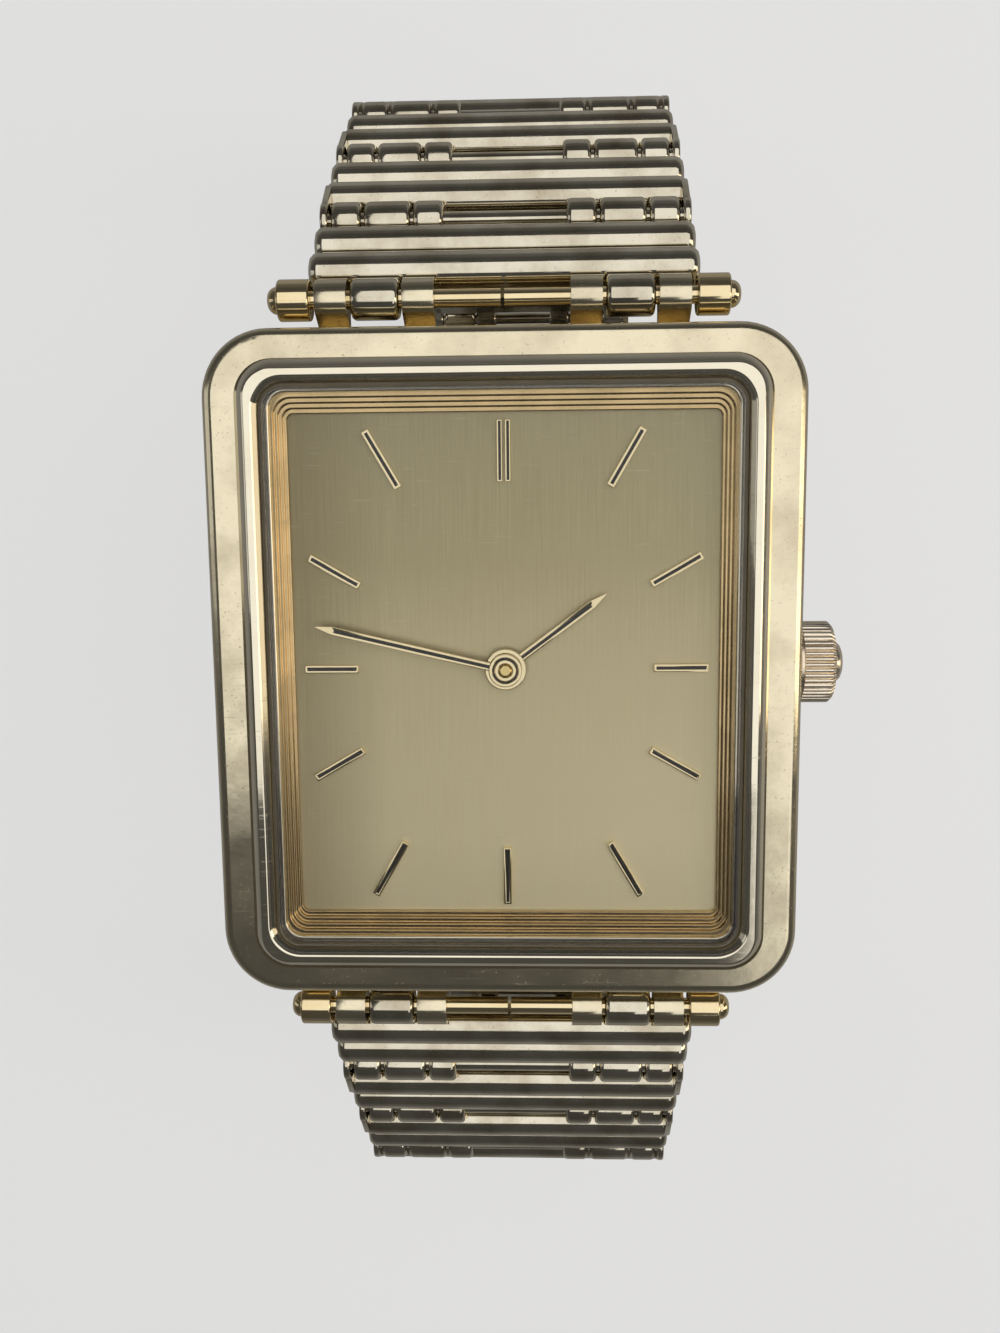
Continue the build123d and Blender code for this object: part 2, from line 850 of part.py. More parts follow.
def train_bridge():
    head_high = bridge_low + post_head_thick
    with BuildPart() as piece:
        with BuildSketch(Plane.XY.offset(bridge_low)):
            with Locations(bridge_middle):
                RectangleRounded(bridge_size[0], bridge_size[1], bridge_corner)
        extrude(amount=bridge_thick)
        disc(bridge_low, train_low, battery_place, battery_radius + 2 * battery_gap, Mode.SUBTRACT)
        for place in bridge_posts:
            disc(train_low, plate_low, place, post_radius)
            disc(bridge_low, plate_low, place, post_screw_radius + seat_gap, Mode.SUBTRACT)
            disc(bridge_low, head_high, place, post_head_radius + seat_gap, Mode.SUBTRACT)
        disc(bridge_low, train_low, centre_place, centre_pivot_radius + running_gap, Mode.SUBTRACT)
        for place in (third_place, fifth_place, rotor_place):
            disc(bridge_low, train_low, place, pivot_radius + running_gap, Mode.SUBTRACT)
    write(piece, "train_bridge")


def movement_screws():
    head_high = bridge_low + post_head_thick
    with BuildPart() as piece:
        for place in bridge_posts:
            disc(bridge_low, head_high, place, post_head_radius)
            disc(head_high, plate_high, place, post_screw_radius)
    write(piece, "movement_screws")


def battery():
    with BuildPart() as piece:
        shell_high = bridge_low + battery_thick - battery_cap_thick
        disc(bridge_low, shell_high, battery_place, battery_radius)
        chamfer(piece.faces().sort_by(Axis.Z)[0].edges(), battery_bevel)
        chamfer(piece.faces().sort_by(Axis.Z)[-1].edges(), battery_bevel)
        disc(shell_high, shell_high + battery_cap_thick, battery_place, battery_cap_radius)
    write(piece, "battery")


def battery_clip():
    """A strip contact round part of the battery, with a tab to the board."""
    inner = battery_radius + press_gap
    outer = inner + clip_thick
    low = plate_low - clip_height
    start = radians(-clip_arc / 2)
    stop = radians(clip_arc / 2)
    with BuildPart() as piece:
        with BuildSketch(Plane((battery_place[0], battery_place[1], low))):
            with BuildLine():
                near = (inner * cos(start), inner * sin(start))
                far = (outer * cos(start), outer * sin(start))
                Line(near, far)
                ThreePointArc(far, (outer, 0), (outer * cos(stop), outer * sin(stop)))
                Line((outer * cos(stop), outer * sin(stop)), (inner * cos(stop), inner * sin(stop)))
                ThreePointArc((inner * cos(stop), inner * sin(stop)), (inner, 0), near)
            make_face()
        extrude(amount=clip_height)
        tab = (battery_place[0] + outer - clip_thick / 2, battery_place[1] - clip_tab_width / 2)
        block(
            plate_low - board_thick - clip_thick,
            plate_low - board_thick,
            tab,
            (tab[0] + clip_tab_length, tab[1] + clip_tab_width),
        )
    write(piece, "battery_clip")


def stator():
    top = plate_low - stator_drop
    low = top - stator_thick
    bar_low = rotor_place[1] - stator_width / 2
    bar_high = rotor_place[1] + stator_width / 2
    leg_low = coil_y - coil_core_width / 2
    with BuildPart() as piece:
        block(low, top, (stator_left, bar_low), (stator_right, bar_high))
        block(low, top, (stator_left, leg_low), (stator_left + stator_leg, bar_low))
        block(low, top, (stator_right - stator_leg, leg_low), (stator_right, bar_low))
        disc(low, top, rotor_place, magnet_radius + rotor_gap, Mode.SUBTRACT)
    write(piece, "stator")


def coil():
    """Winding and flanges on a flat core that lies under the stator's legs."""
    core_high = plate_low - stator_drop - stator_thick
    core_low = core_high - stator_thick
    middle = (core_low + core_high) / 2
    start = stator_left + stator_leg + coil_end_gap
    stop = stator_right - stator_leg - coil_end_gap
    across_core = Plane.YZ
    with BuildPart() as piece:
        block(
            core_low,
            core_high,
            (stator_left, coil_y - coil_core_width / 2),
            (stator_right, coil_y + coil_core_width / 2),
        )
        for near, far, radius in (
            (start, stop, coil_radius),
            (start, start + coil_flange_thick, coil_flange_radius),
            (stop - coil_flange_thick, stop, coil_flange_radius),
        ):
            with BuildSketch(across_core.offset(near)):
                with Locations((coil_y, middle)):
                    Circle(radius)
            extrude(amount=far - near)
    write(piece, "coil")


def circuit_board():
    low = plate_low - board_thick
    middle = ((board_left + board_right) / 2, (board_low + board_high) / 2)
    quartz_half = quartz_radius + slot_gap
    with BuildPart() as piece:
        with BuildSketch(Plane.XY.offset(low)):
            with Locations(middle):
                RectangleRounded(board_right - board_left, board_high - board_low, board_corner)
        extrude(amount=board_thick)
        block(
            low,
            plate_low,
            (quartz_place[0] - quartz_half, quartz_place[1] - quartz_length / 2 - slot_gap),
            (quartz_place[0] + quartz_half, quartz_place[1] + quartz_length / 2 + slot_gap),
            Mode.SUBTRACT,
        )
        disc(low - chip_thick, low, chip_place, chip_radius)
    write(piece, "circuit_board")


def quartz_can():
    start = quartz_place[1] - quartz_length / 2
    with BuildPart() as piece:
        with BuildSketch(Plane.XZ.offset(-start - quartz_length)):
            with Locations((quartz_place[0], plate_low)):
                Circle(quartz_radius)
        extrude(amount=quartz_length)
    write(piece, "quartz_can")


# Crown and stem places along X
crown_start = case_outline[0] + crown_gap
crown_stop = crown_start + crown_length
crown_floor = crown_start + crown_bore_depth
tube_stop = crown_floor - crown_gap
stem_stop = crown_stop - crown_lip


def crown_tube():
    with BuildPart() as piece:
        rod(cavity_outline[0], tube_stop, tube_radius, stem_height)
        rod(cavity_outline[0], tube_stop, tube_bore, stem_height, Mode.SUBTRACT)
    write(piece, "crown_tube")


def crown():
    with BuildPart() as piece:
        rod(crown_start, crown_start + crown_lip, crown_radius - crown_lip_depth, stem_height)
        rod(crown_start + crown_lip, crown_stop, crown_radius, stem_height)
        chamfer(piece.edges().filter_by(GeomType.CIRCLE).group_by(Axis.X)[-1], crown_bevel)
        with BuildSketch(Plane.YZ.offset(crown_start)):
            with Locations((0, stem_height)):
                with PolarLocations(crown_radius, crown_flutes):
                    Circle(crown_flute_radius)
        extrude(amount=crown_length, mode=Mode.SUBTRACT)
        with BuildSketch(Plane.YZ.offset(crown_stop)):
            with Locations((0, stem_height)):
                Circle(crown_cap_radius)
        extrude(amount=crown_cap_length)
        fillet(piece.faces().sort_by(Axis.X)[-1].edges(), crown_cap_round)
        rod(crown_start, crown_floor, crown_bore_radius, stem_height, Mode.SUBTRACT)
        rod(crown_start, stem_stop, stem_radius + press_gap, stem_height, Mode.SUBTRACT)
    write(piece, "crown")


def stem():
    groove_stop = stem_groove_at + stem_groove_length
    with BuildPart() as piece:
        rod(stem_start, stem_start + stem_pinion_length, stem_pinion_radius, stem_height)
        rod(stem_start, stem_groove_at, stem_radius, stem_height)
        rod(stem_groove_at, groove_stop, stem_groove_radius, stem_height)
        rod(groove_stop, stem_stop, stem_radius, stem_height)
    write(piece, "stem")


def crown_gasket():
    start = case_outline[0] - stem_gasket_back
    with BuildPart() as piece:
        rod(start, start + stem_gasket_length, tube_bore - running_gap, stem_height)
        rod(start, start + stem_gasket_length, stem_radius + press_gap, stem_height, Mode.SUBTRACT)
    write(piece, "crown_gasket")


def setting_lever():
    """A plate over the stem whose fork drops into the stem's groove."""
    groove_middle = stem_groove_at + stem_groove_length / 2
    low = plate_high + lever_lift
    fork_low = low - lever_fork_depth
    slot_half = stem_groove_radius + running_gap
    with BuildPart() as piece:
        block(
            low,
            low + lever_thick,
            (groove_middle - lever_length / 2, -lever_width / 2),
            (groove_middle + lever_length / 2, lever_width / 2),
        )
        block(
            fork_low,
            low,
            (groove_middle - lever_fork_thick / 2, -lever_width / 2),
            (groove_middle + lever_fork_thick / 2, lever_width / 2),
        )
        start = groove_middle - lever_fork_thick / 2
        stop = groove_middle + lever_fork_thick / 2
        rod(start, stop, slot_half, stem_height, Mode.SUBTRACT)
        block(fork_low, stem_height, (start, -slot_half), (stop, slot_half), Mode.SUBTRACT)
    write(piece, "setting_lever")


def lug_sleeves():
    """Four tubes on the lug pins, outside the lug knuckles."""
    span = (lug_start, lug_end)
    with BuildPart() as piece:
        for side in (1, -1):
            plane = side_plane(side, 1, clasp_heading)
            both_sides(plane, span, lambda: Circle(sleeve_radius))
        fillet(piece.edges().filter_by(GeomType.CIRCLE), sleeve_edge_round)
        for side in (1, -1):
            plane = side_plane(side, 1, clasp_heading)
            both_sides(plane, span, lambda: Circle(link_pin_radius + press_gap), Mode.SUBTRACT)
    write(piece, "lug_sleeves")


def lug_pins():
    """Two half pins at each lug, each with a domed head outside its sleeve."""
    with BuildPart() as piece:
        for side in (1, -1):
            plane = side_plane(side, 1, clasp_heading)
            both_sides(plane, (lug_pin_break / 2, lug_end), lambda: Circle(link_pin_radius))
            both_sides(plane, (lug_end, lug_end + dome_length), lambda: Circle(dome_radius))
        rims = piece.edges().filter_by(GeomType.CIRCLE).group_by(Axis.X)
        fillet(rims[0] + rims[-1], dome_length * dome_round_share)
    write(piece, "lug_pins")


def link(number, side, label):
    """One link: hood at the case end, two ridges, small knuckles at the far end, and its pin."""
    plane = side_plane(side, number, headings[side][number - 1])
    ridges = (ridge_step, 2 * ridge_step)
    near_half = row_half(number)
    far_columns = row_columns(number + 1)["small"]
    far_fit = pin_running_gap
    if side == 1 and number == links_per_side:
        far_fit = press_gap
    near_fit = pin_running_gap if number == 1 else press_gap
    with BuildPart() as piece:
        ridge_bars(plane, ridges, (near_half, near_half - row_taper / 2))
        hood(plane, number)
        for span in far_columns:
            both_sides(plane, span, lambda: knuckle(link_pitch, ridges[1]))
        across(plane, near_half, (0, 0), link_pin_radius + near_fit, Mode.SUBTRACT)
        across(plane, near_half, (link_pitch, 0), link_pin_radius + far_fit, Mode.SUBTRACT)
        if number > 1:
            across(plane, near_half, (0, 0), link_pin_radius)
    write(piece, label)


# The clasp lies across the wrist side, from the 6 o'clock links to the 12 o'clock ones
clasp_row = links_per_side + 1
clasp_half = row_half(clasp_row)
clasp_span = pivots[1][-1][0] + pivots[-1][-1][0]
clasp_plane = side_plane(-1, clasp_row, clasp_heading)
clasp_floor = clasp_plate_thick - link_underside
cover_hinge_along = ridge_step + ridge_radius + cover_hinge_from_ridge
cover_hinge_at = (cover_hinge_along, cover_hinge_lift + clasp_floor)
cover_high = cover_hinge_at[1] + cover_hinge_radius
ear_span = (clasp_half - ear_inset - ear_width, clasp_half - ear_inset)
cover_knuckle_half = ear_span[0] - ear_gap


def clasp_end_bar():
    with BuildPart() as piece:
        plane = side_plane(1, clasp_row, clasp_heading)
        outer = row_columns(clasp_row)["small"][0][1]
        across(plane, outer, (0, 0), link_pin_radius)
    write(piece, "clasp_end_bar")


def clasp_blade():
    """The long plate of the clasp, hinged on the last 6 o'clock link and hooked on the end bar."""
    plate_stop = clasp_span - clasp_plate_end_gap
    plate_half = clasp_half - cover_wall - cover_side_gap
    plate_middle = (clasp_floor - link_underside) / 2
    hook_stop = clasp_span - (link_pin_radius + clasp_seat_gap) * cos(radians(clasp_seat_angle))
    hook_start = clasp_span - clasp_hook_back

    def hook():
        with Locations(((hook_start + hook_stop) / 2, (clasp_hook_top - link_underside) / 2)):
            Rectangle(hook_stop - hook_start, clasp_hook_top + link_underside)
        with Locations((clasp_span, 0)):
            Circle(link_pin_radius + clasp_seat_gap, mode=Mode.SUBTRACT)

    def ear():
        with Locations(cover_hinge_at):
            Circle(cover_hinge_radius)
        with Locations((cover_hinge_at[0], (cover_hinge_at[1] - link_underside) / 2)):
            Rectangle(2 * cover_hinge_radius, cover_hinge_at[1] + link_underside)

    with BuildPart() as piece:
        ridge_bars(clasp_plane, (ridge_step,), (clasp_half,))
        hood(clasp_plane, clasp_row)
        with BuildSketch(clasp_plane.offset(-plate_half)):
            with Locations(((ridge_step + plate_stop) / 2, plate_middle)):
                Rectangle(plate_stop - ridge_step, clasp_plate_thick)
        extrude(amount=2 * plate_half)
        both_sides(clasp_plane, row_columns(clasp_row)["large"], hook)
        both_sides(clasp_plane, ear_span, ear)
        across(clasp_plane, clasp_half, (0, 0), link_pin_radius + press_gap, Mode.SUBTRACT)
        across(clasp_plane, clasp_half, cover_hinge_at, cover_pin_radius + press_gap, Mode.SUBTRACT)
        across(clasp_plane, clasp_half, (0, 0), link_pin_radius)
    write(piece, "clasp_blade")


def clasp_cover_pin():
    with BuildPart() as piece:
        across(clasp_plane, ear_span[1], cover_hinge_at, cover_pin_radius)
    write(piece, "clasp_cover_pin")


def clasp_cover():
    """The folding cover: a shallow channel over the blade, hinged at its 6 o'clock end."""
    start = cover_hinge_at[0] + cover_start
    stop = clasp_span - cover_end_gap
    middle = (start + stop) / 2
    wall_low = cover_high - cover_wall_depth
    with BuildPart() as piece:
        with BuildSketch(clasp_plane.offset(-clasp_half)):
            with Locations((middle, (cover_high + wall_low) / 2)):
                Rectangle(stop - start, cover_high - wall_low)
        extrude(amount=2 * clasp_half)
        ends = piece.edges().filter_by(Axis.X).group_by(Axis.Z)[0]
        fillet(ends, cover_edge_round)
        inner = clasp_half - cover_wall
        with BuildSketch(clasp_plane.offset(-inner)):
            with Locations((middle, (cover_high - cover_thick + wall_low - overrun) / 2)):
                Rectangle(stop - start + 2 * overrun, cover_high - cover_thick - wall_low + overrun)
        extrude(amount=2 * inner, mode=Mode.SUBTRACT)
        with BuildSketch(clasp_plane.offset(-cover_knuckle_half)):
            with Locations(cover_hinge_at):
                Circle(cover_hinge_radius)
            with Locations(((cover_hinge_at[0] + start) / 2, cover_high - cover_thick / 2)):
                Rectangle(start - cover_hinge_at[0], cover_thick)
        extrude(amount=2 * cover_knuckle_half)
        bore = cover_pin_radius + running_gap
        across(clasp_plane, cover_knuckle_half, cover_hinge_at, bore, Mode.SUBTRACT)
    write(piece, "clasp_cover")


case_middle()
case_back()
case_back_screws()
case_back_gasket()
bezel()
crystal()
crystal_gasket()
dial_ring()
dial()
dial_markers()
movement_holder()
main_plate()
train_bridge()
movement_screws()
battery()
battery_clip()
stator()
coil()
circuit_board()
quartz_can()
centre_wheel()
third_wheel()
fifth_wheel()
rotor()
minute_wheel()
hour_wheel()
hand(
    "hour_hand",
    hour_hand_low,
    hour_hand_length,
    hour_hub_radius,
    pipe_radius + press_gap,
    hour_hand_angle,
)
hand(
    "minute_hand",
    minute_hand_low,
    minute_hand_length,
    minute_hub_radius,
    centre_tip_radius + press_gap,
    minute_hand_angle,
)
crown_tube()
crown()
stem()
crown_gasket()
setting_lever()
lug_sleeves()
lug_pins()
for number in range(1, links_per_side + 1):
    link(number, 1, f"upper_link_{number}")
    link(number, -1, f"lower_link_{number}")
clasp_end_bar()
clasp_blade()
clasp_cover_pin()
clasp_cover()

print("crown and stem height", round(stem_height, 3), "case front", round(case_high, 3))
print("crystal front", round(crystal_high, 3))
print("crown from", round(crown_start, 3), "to", round(crown_stop, 3))
print("last 6 o'clock link falls at", round(closing_heading, 4))
for side, chain in pivots.items():
    print("pivots of side", side, [(round(far, 4), round(high, 4)) for far, high in chain])
arbors = (third_place, fifth_place, rotor_place, minute_place)
print("arbors", [(round(x, 3), round(y, 3)) for x, y in arbors])
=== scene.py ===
import bpy
import bmesh
import json
from math import asin, atan2, cos, degrees, pi, radians, sin
from mathutils import Matrix, Vector


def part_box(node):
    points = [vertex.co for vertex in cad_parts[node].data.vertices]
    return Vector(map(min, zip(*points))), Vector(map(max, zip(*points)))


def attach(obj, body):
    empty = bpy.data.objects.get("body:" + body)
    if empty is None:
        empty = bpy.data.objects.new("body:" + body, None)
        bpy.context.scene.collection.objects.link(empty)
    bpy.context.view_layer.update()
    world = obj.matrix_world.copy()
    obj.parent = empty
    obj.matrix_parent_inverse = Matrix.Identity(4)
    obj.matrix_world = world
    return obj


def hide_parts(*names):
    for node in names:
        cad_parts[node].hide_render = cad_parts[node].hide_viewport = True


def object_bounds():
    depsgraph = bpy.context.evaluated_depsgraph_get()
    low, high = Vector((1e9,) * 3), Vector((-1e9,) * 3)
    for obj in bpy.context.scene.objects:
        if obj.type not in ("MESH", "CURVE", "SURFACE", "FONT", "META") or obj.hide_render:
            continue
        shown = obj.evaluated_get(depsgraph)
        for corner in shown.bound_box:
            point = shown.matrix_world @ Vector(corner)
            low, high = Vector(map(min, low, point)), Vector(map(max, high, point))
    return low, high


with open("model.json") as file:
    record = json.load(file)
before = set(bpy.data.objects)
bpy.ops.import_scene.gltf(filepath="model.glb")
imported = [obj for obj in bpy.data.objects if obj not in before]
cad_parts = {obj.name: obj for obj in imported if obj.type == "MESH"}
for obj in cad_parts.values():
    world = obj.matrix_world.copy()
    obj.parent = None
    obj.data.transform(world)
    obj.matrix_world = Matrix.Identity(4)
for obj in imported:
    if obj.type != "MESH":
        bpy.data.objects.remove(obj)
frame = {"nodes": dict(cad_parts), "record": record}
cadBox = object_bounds()
scene = bpy.context.scene
slotOf = {part["node"]: part["material_slot"] for part in frame["record"]["subparts"]}
bodies = frame["record"]["behaviour"]["bodies"]
bodyOf = {node: body for body, nodes in bodies.items() for node in nodes}
print("frame loaded,", len(frame["nodes"]), "nodes")

# Camera

cameraSettings = {
    "target": (-0.29, -0.096, 3.0),  # mm
    "distance": 57.3,
    "tilt": 0.1561,
    "yaw": 0.0414,
    "roll": -0.0107,
    "focalPixels": 1326.8,
    "frameHeight": 1333,
    "sensorHeight": 24.0,
    "nearAndFar": (0.001, 10),
}


def placeCamera(settings):
    tilt, yaw, roll = settings["tilt"], settings["yaw"], settings["roll"]
    out = Vector((sin(yaw) * cos(tilt), sin(tilt), cos(tilt) * cos(yaw)))
    right = (-out).cross(Vector((0, 1, 0))).normalized()
    up = right.cross(-out)
    rightRolled = right * cos(roll) + up * sin(roll)
    upRolled = up * cos(roll) - right * sin(roll)
    place = (Vector(settings["target"]) + out * settings["distance"]) / 1000
    turn = Matrix((rightRolled, upRolled, out)).transposed().to_4x4()
    data = bpy.data.cameras.new("watchCamera")
    data.sensor_fit = "VERTICAL"
    data.sensor_height = settings["sensorHeight"]
    data.lens = settings["focalPixels"] / settings["frameHeight"] * settings["sensorHeight"]
    data.clip_start, data.clip_end = settings["nearAndFar"]
    camera = bpy.data.objects.new("watchCamera", data)
    camera.matrix_world = Matrix.Translation(place) @ turn
    scene.collection.objects.link(camera)
    scene.camera = camera


placeCamera(cameraSettings)
scene.view_settings.view_transform = "Standard"
print("camera placed")

# Node helpers: the owner is the material or world whose nodes they add to


def startFinish(name, colour, metallic, roughness):
    material = bpy.data.materials.new(name)
    material.use_nodes = True
    shader = material.node_tree.nodes["Principled BSDF"]
    shader.inputs["Base Color"].default_value = (*colour, 1)
    shader.inputs["Metallic"].default_value = metallic
    shader.inputs["Roughness"].default_value = roughness
    return material, shader


def combine(owner, first, second, operation="ADD"):
    combiner = owner.node_tree.nodes.new("ShaderNodeMath")
    combiner.operation = operation
    for socket, value in zip(combiner.inputs, (first, second)):
        if isinstance(value, (int, float)):
            socket.default_value = value
        else:
            owner.node_tree.links.new(value, socket)
    return combiner.outputs[0]


def shareOf(owner, value, share):
    return combine(owner, value, share, "MULTIPLY")


# Maps one span of values to another and holds its ends
def spread(owner, value, span, result=(0.0, 1.0)):
    spreader = owner.node_tree.nodes.new("ShaderNodeMapRange")
    spreader.clamp = True
    owner.node_tree.links.new(value, spreader.inputs["Value"])
    for name, number in zip(("From Min", "From Max", "To Min", "To Max"), (*span, *result)):
        spreader.inputs[name].default_value = number
    return spreader.outputs["Result"]


def blended(owner, factor, first, second, how="MIX"):
    mix = owner.node_tree.nodes.new("ShaderNodeMix")
    mix.data_type = "RGBA"
    mix.blend_type = how
    for name, value in (("Factor", factor), ("A", first), ("B", second)):
        socket = mix.inputs[name]
        if isinstance(value, float):
            socket.default_value = value
        elif isinstance(value, tuple):
            socket.default_value = (*value, 1)
        else:
            owner.node_tree.links.new(value, socket)
    return mix.outputs["Result"]


# Whole for what the camera sees directly, and a share for what metal and glass mirror
def seenShare(owner, share):
    rays = owner.node_tree.nodes.new("ShaderNodeLightPath")
    mirrored = combine(owner, rays.outputs["Is Glossy Ray"], rays.outputs["Is Transmission Ray"])
    return combine(owner, rays.outputs["Is Camera Ray"], shareOf(owner, mirrored, share))


# Studio: a floor that looks pale without lighting the watch, and soft boxes

floorLook = {
    "size": 3.0,
    "colour": (0.36, 0.36, 0.355),
    "roughness": 0.9,
    "glow": 0.60,
    "metalShare": 0.18,
}
softBoxes = {
    "keyLight": {"place": (0.093, 0.0925, 0.30), "size": (0.43, 0.345), "power": 0.46},
    # joins the key box at its near right corner
    "cornerLight": {"place": (0.135, -0.12, 0.30), "size": (0.16, 0.08), "power": 0.040},
    "leftLight": {"place": (-0.30, 0.02, 0.14), "size": (0.10, 0.30), "power": 0.05, "aim": (0, 0, 0)},
    "rightLight": {"place": (0.32, -0.02, 0.14), "size": (0.10, 0.30), "power": 0.20, "aim": (0, 0, 0),
                   "colour": (1.0, 0.86, 0.66)},
}


def makeFloor(look):
    shape = bmesh.new()
    bmesh.ops.create_grid(shape, x_segments=1, y_segments=1, size=look["size"] / 2)
    bmesh.ops.translate(shape, verts=shape.verts, vec=(0, 0, cadBox[0][2]))
    mesh = bpy.data.meshes.new("floor")
    shape.to_mesh(mesh)
    shape.free()
    floor = bpy.data.objects.new("floor", mesh)
    scene.collection.objects.link(floor)
    material, shader = startFinish("paleFloor", look["colour"], 0.0, look["roughness"])
    shader.inputs["Emission Color"].default_value = (1, 1, 1, 1)
    glow = shareOf(material, seenShare(material, look["metalShare"]), look["glow"])
    material.node_tree.links.new(glow, shader.inputs["Emission Strength"])
    mesh.materials.append(material)


def makeSoftBox(name, box):
    data = bpy.data.lights.new(name, "AREA")
    data.shape = "RECTANGLE"
    data.size, data.size_y = box["size"]
    data.energy = box["power"]
    data.color = box.get("colour", (1, 1, 1))
    lamp = bpy.data.objects.new(name, data)
    lamp.location = box["place"]
    if "aim" in box:  # the others hang level
        way = Vector(box["aim"]) - Vector(box["place"])
        lamp.rotation_euler = way.to_track_quat("-Z", "Y").to_euler()
    scene.collection.objects.link(lamp)


# Pale at eye level, darker overhead, where the soft boxes hang
worldLook = {
    "steps": ((0.0, 0.08), (0.49, 0.08), (0.53, 0.10), (0.62, 0.08), (0.70, 0.045), (1.0, 0.05)),
    "blueShare": 0.99,
    "pale": (0.74, 0.74, 0.73),  # what the camera sees beyond the floor
    "metalShare": 0.03,
}


def makeWorld(look):
    world = bpy.data.worlds.new("studioWorld")
    scene.world = world
    world.use_nodes = True
    nodes, links = world.node_tree.nodes, world.node_tree.links
    nodes.clear()
    coords = nodes.new("ShaderNodeTexCoord")
    parts = nodes.new("ShaderNodeSeparateXYZ")
    ramp = nodes.new("ShaderNodeValToRGB")
    back = nodes.new("ShaderNodeBackground")
    out = nodes.new("ShaderNodeOutputWorld")
    links.new(coords.outputs["Generated"], parts.inputs[0])
    links.new(spread(world, parts.outputs["Z"], (-1, 1)), ramp.inputs["Fac"])
    seen = seenShare(world, look["metalShare"])
    links.new(blended(world, seen, ramp.outputs["Color"], look["pale"]), back.inputs["Color"])
    links.new(back.outputs[0], out.inputs["Surface"])
    elements = ramp.color_ramp.elements
    while len(elements) < len(look["steps"]):
        elements.new(0.5)
    for element, (place, level) in zip(elements, look["steps"]):
        element.position = place
        element.color = (level, level, level * look["blueShare"], 1)


makeFloor(floorLook)
for boxName, box in softBoxes.items():
    makeSoftBox(boxName, box)
makeWorld(worldLook)
print("studio built")

# Finishes: every pattern reads object coordinates, scaled to millimetres


def patternCoords(material, stretch=(1, 1, 1), turn=(0, 0, 0)):
    nodes = material.node_tree.nodes
    coords = nodes.new("ShaderNodeTexCoord")
    mapping = nodes.new("ShaderNodeMapping")
    mapping.inputs["Rotation"].default_value = [radians(angle) for angle in turn]
    mapping.inputs["Scale"].default_value = [1000 * share for share in stretch]
    material.node_tree.links.new(coords.outputs["Object"], mapping.inputs["Vector"])
    return mapping.outputs["Vector"]


def noiseOf(material, coords, scale, detail=3, harshness=0.55):
    noise = material.node_tree.nodes.new("ShaderNodeTexNoise")
    noise.inputs["Scale"].default_value = scale
    noise.inputs["Detail"].default_value = detail
    noise.inputs["Roughness"].default_value = harshness
    material.node_tree.links.new(coords, noise.inputs["Vector"])
    return noise.outputs["Fac"]


def addBump(material, shader, height, depth):
    bump = material.node_tree.nodes.new("ShaderNodeBump")
    bump.inputs["Distance"].default_value = depth / 1000
    material.node_tree.links.new(height, bump.inputs["Height"])
    material.node_tree.links.new(bump.outputs["Normal"], shader.inputs["Normal"])


# Fine scratches run in a few directions, each a thin slice of a long stretched noise
def scratchesOf(material, directions, density, length=0.35, across=9.0):
    total = None
    for index, angle in enumerate(directions):
        coords = patternCoords(material, (length, across, 1), (0, 0, angle))
        line = noiseOf(material, coords, 1.0 + 0.13 * index, 2, 0.5)
        thin = spread(material, line, (density, density + 0.05))
        total = thin if total is None else combine(material, total, thin, "MAXIMUM")
    return total


# What all gold finishes share, unless their own look says otherwise
goldCommon = {
    "cloudScale": 0.45,
    "speckleScale": 9.0,
    "dentScale": 0.8,
    "directions": (12, 71, 128),
    "density": 0.66,
    "patinaSpan": (0.40, 0.72),
    "pitSpan": (0.64, 0.74),
    "roughSpan": (0.3, 0.7),
    "roughShares": (0.75, 1.35),
    "pitRough": 0.25,
    "scratchRelief": -0.05,
    "pitRelief": -0.3,
}


def polishedGold(name, ownLook):
    look = {**goldCommon, **ownLook}
    material, shader = startFinish(name, look["colour"], 1.0, look["roughness"])
    links = material.node_tree.links
    coords = patternCoords(material)
    cloudy = noiseOf(material, coords, look["cloudScale"], 4)
    speckle = noiseOf(material, coords, look["speckleScale"], 3, 0.6)
    scratches = scratchesOf(material, look["directions"], look["density"])
    patina = spread(material, cloudy, look["patinaSpan"], (0.0, look["patina"]))
    pits = spread(material, speckle, look["pitSpan"], (0.0, look["pits"]))
    colour = blended(material, patina, look["colour"], look["worn"])
    links.new(blended(material, pits, colour, look["pitColour"]), shader.inputs["Base Color"])
    levels = [look["roughness"] * share for share in look["roughShares"]]
    rough = spread(material, cloudy, look["roughSpan"], levels)
    rough = combine(material, rough, shareOf(material, scratches, look["scratch"]))
    rough = combine(material, rough, shareOf(material, pits, look["pitRough"]))
    links.new(rough, shader.inputs["Roughness"])
    relief = noiseOf(material, coords, look["dentScale"], 3)
    relief = combine(material, relief, shareOf(material, scratches, look["scratchRelief"]))
    relief = combine(material, relief, shareOf(material, pits, look["pitRelief"]))
    addBump(material, shader, relief, look["dent"])
    return material


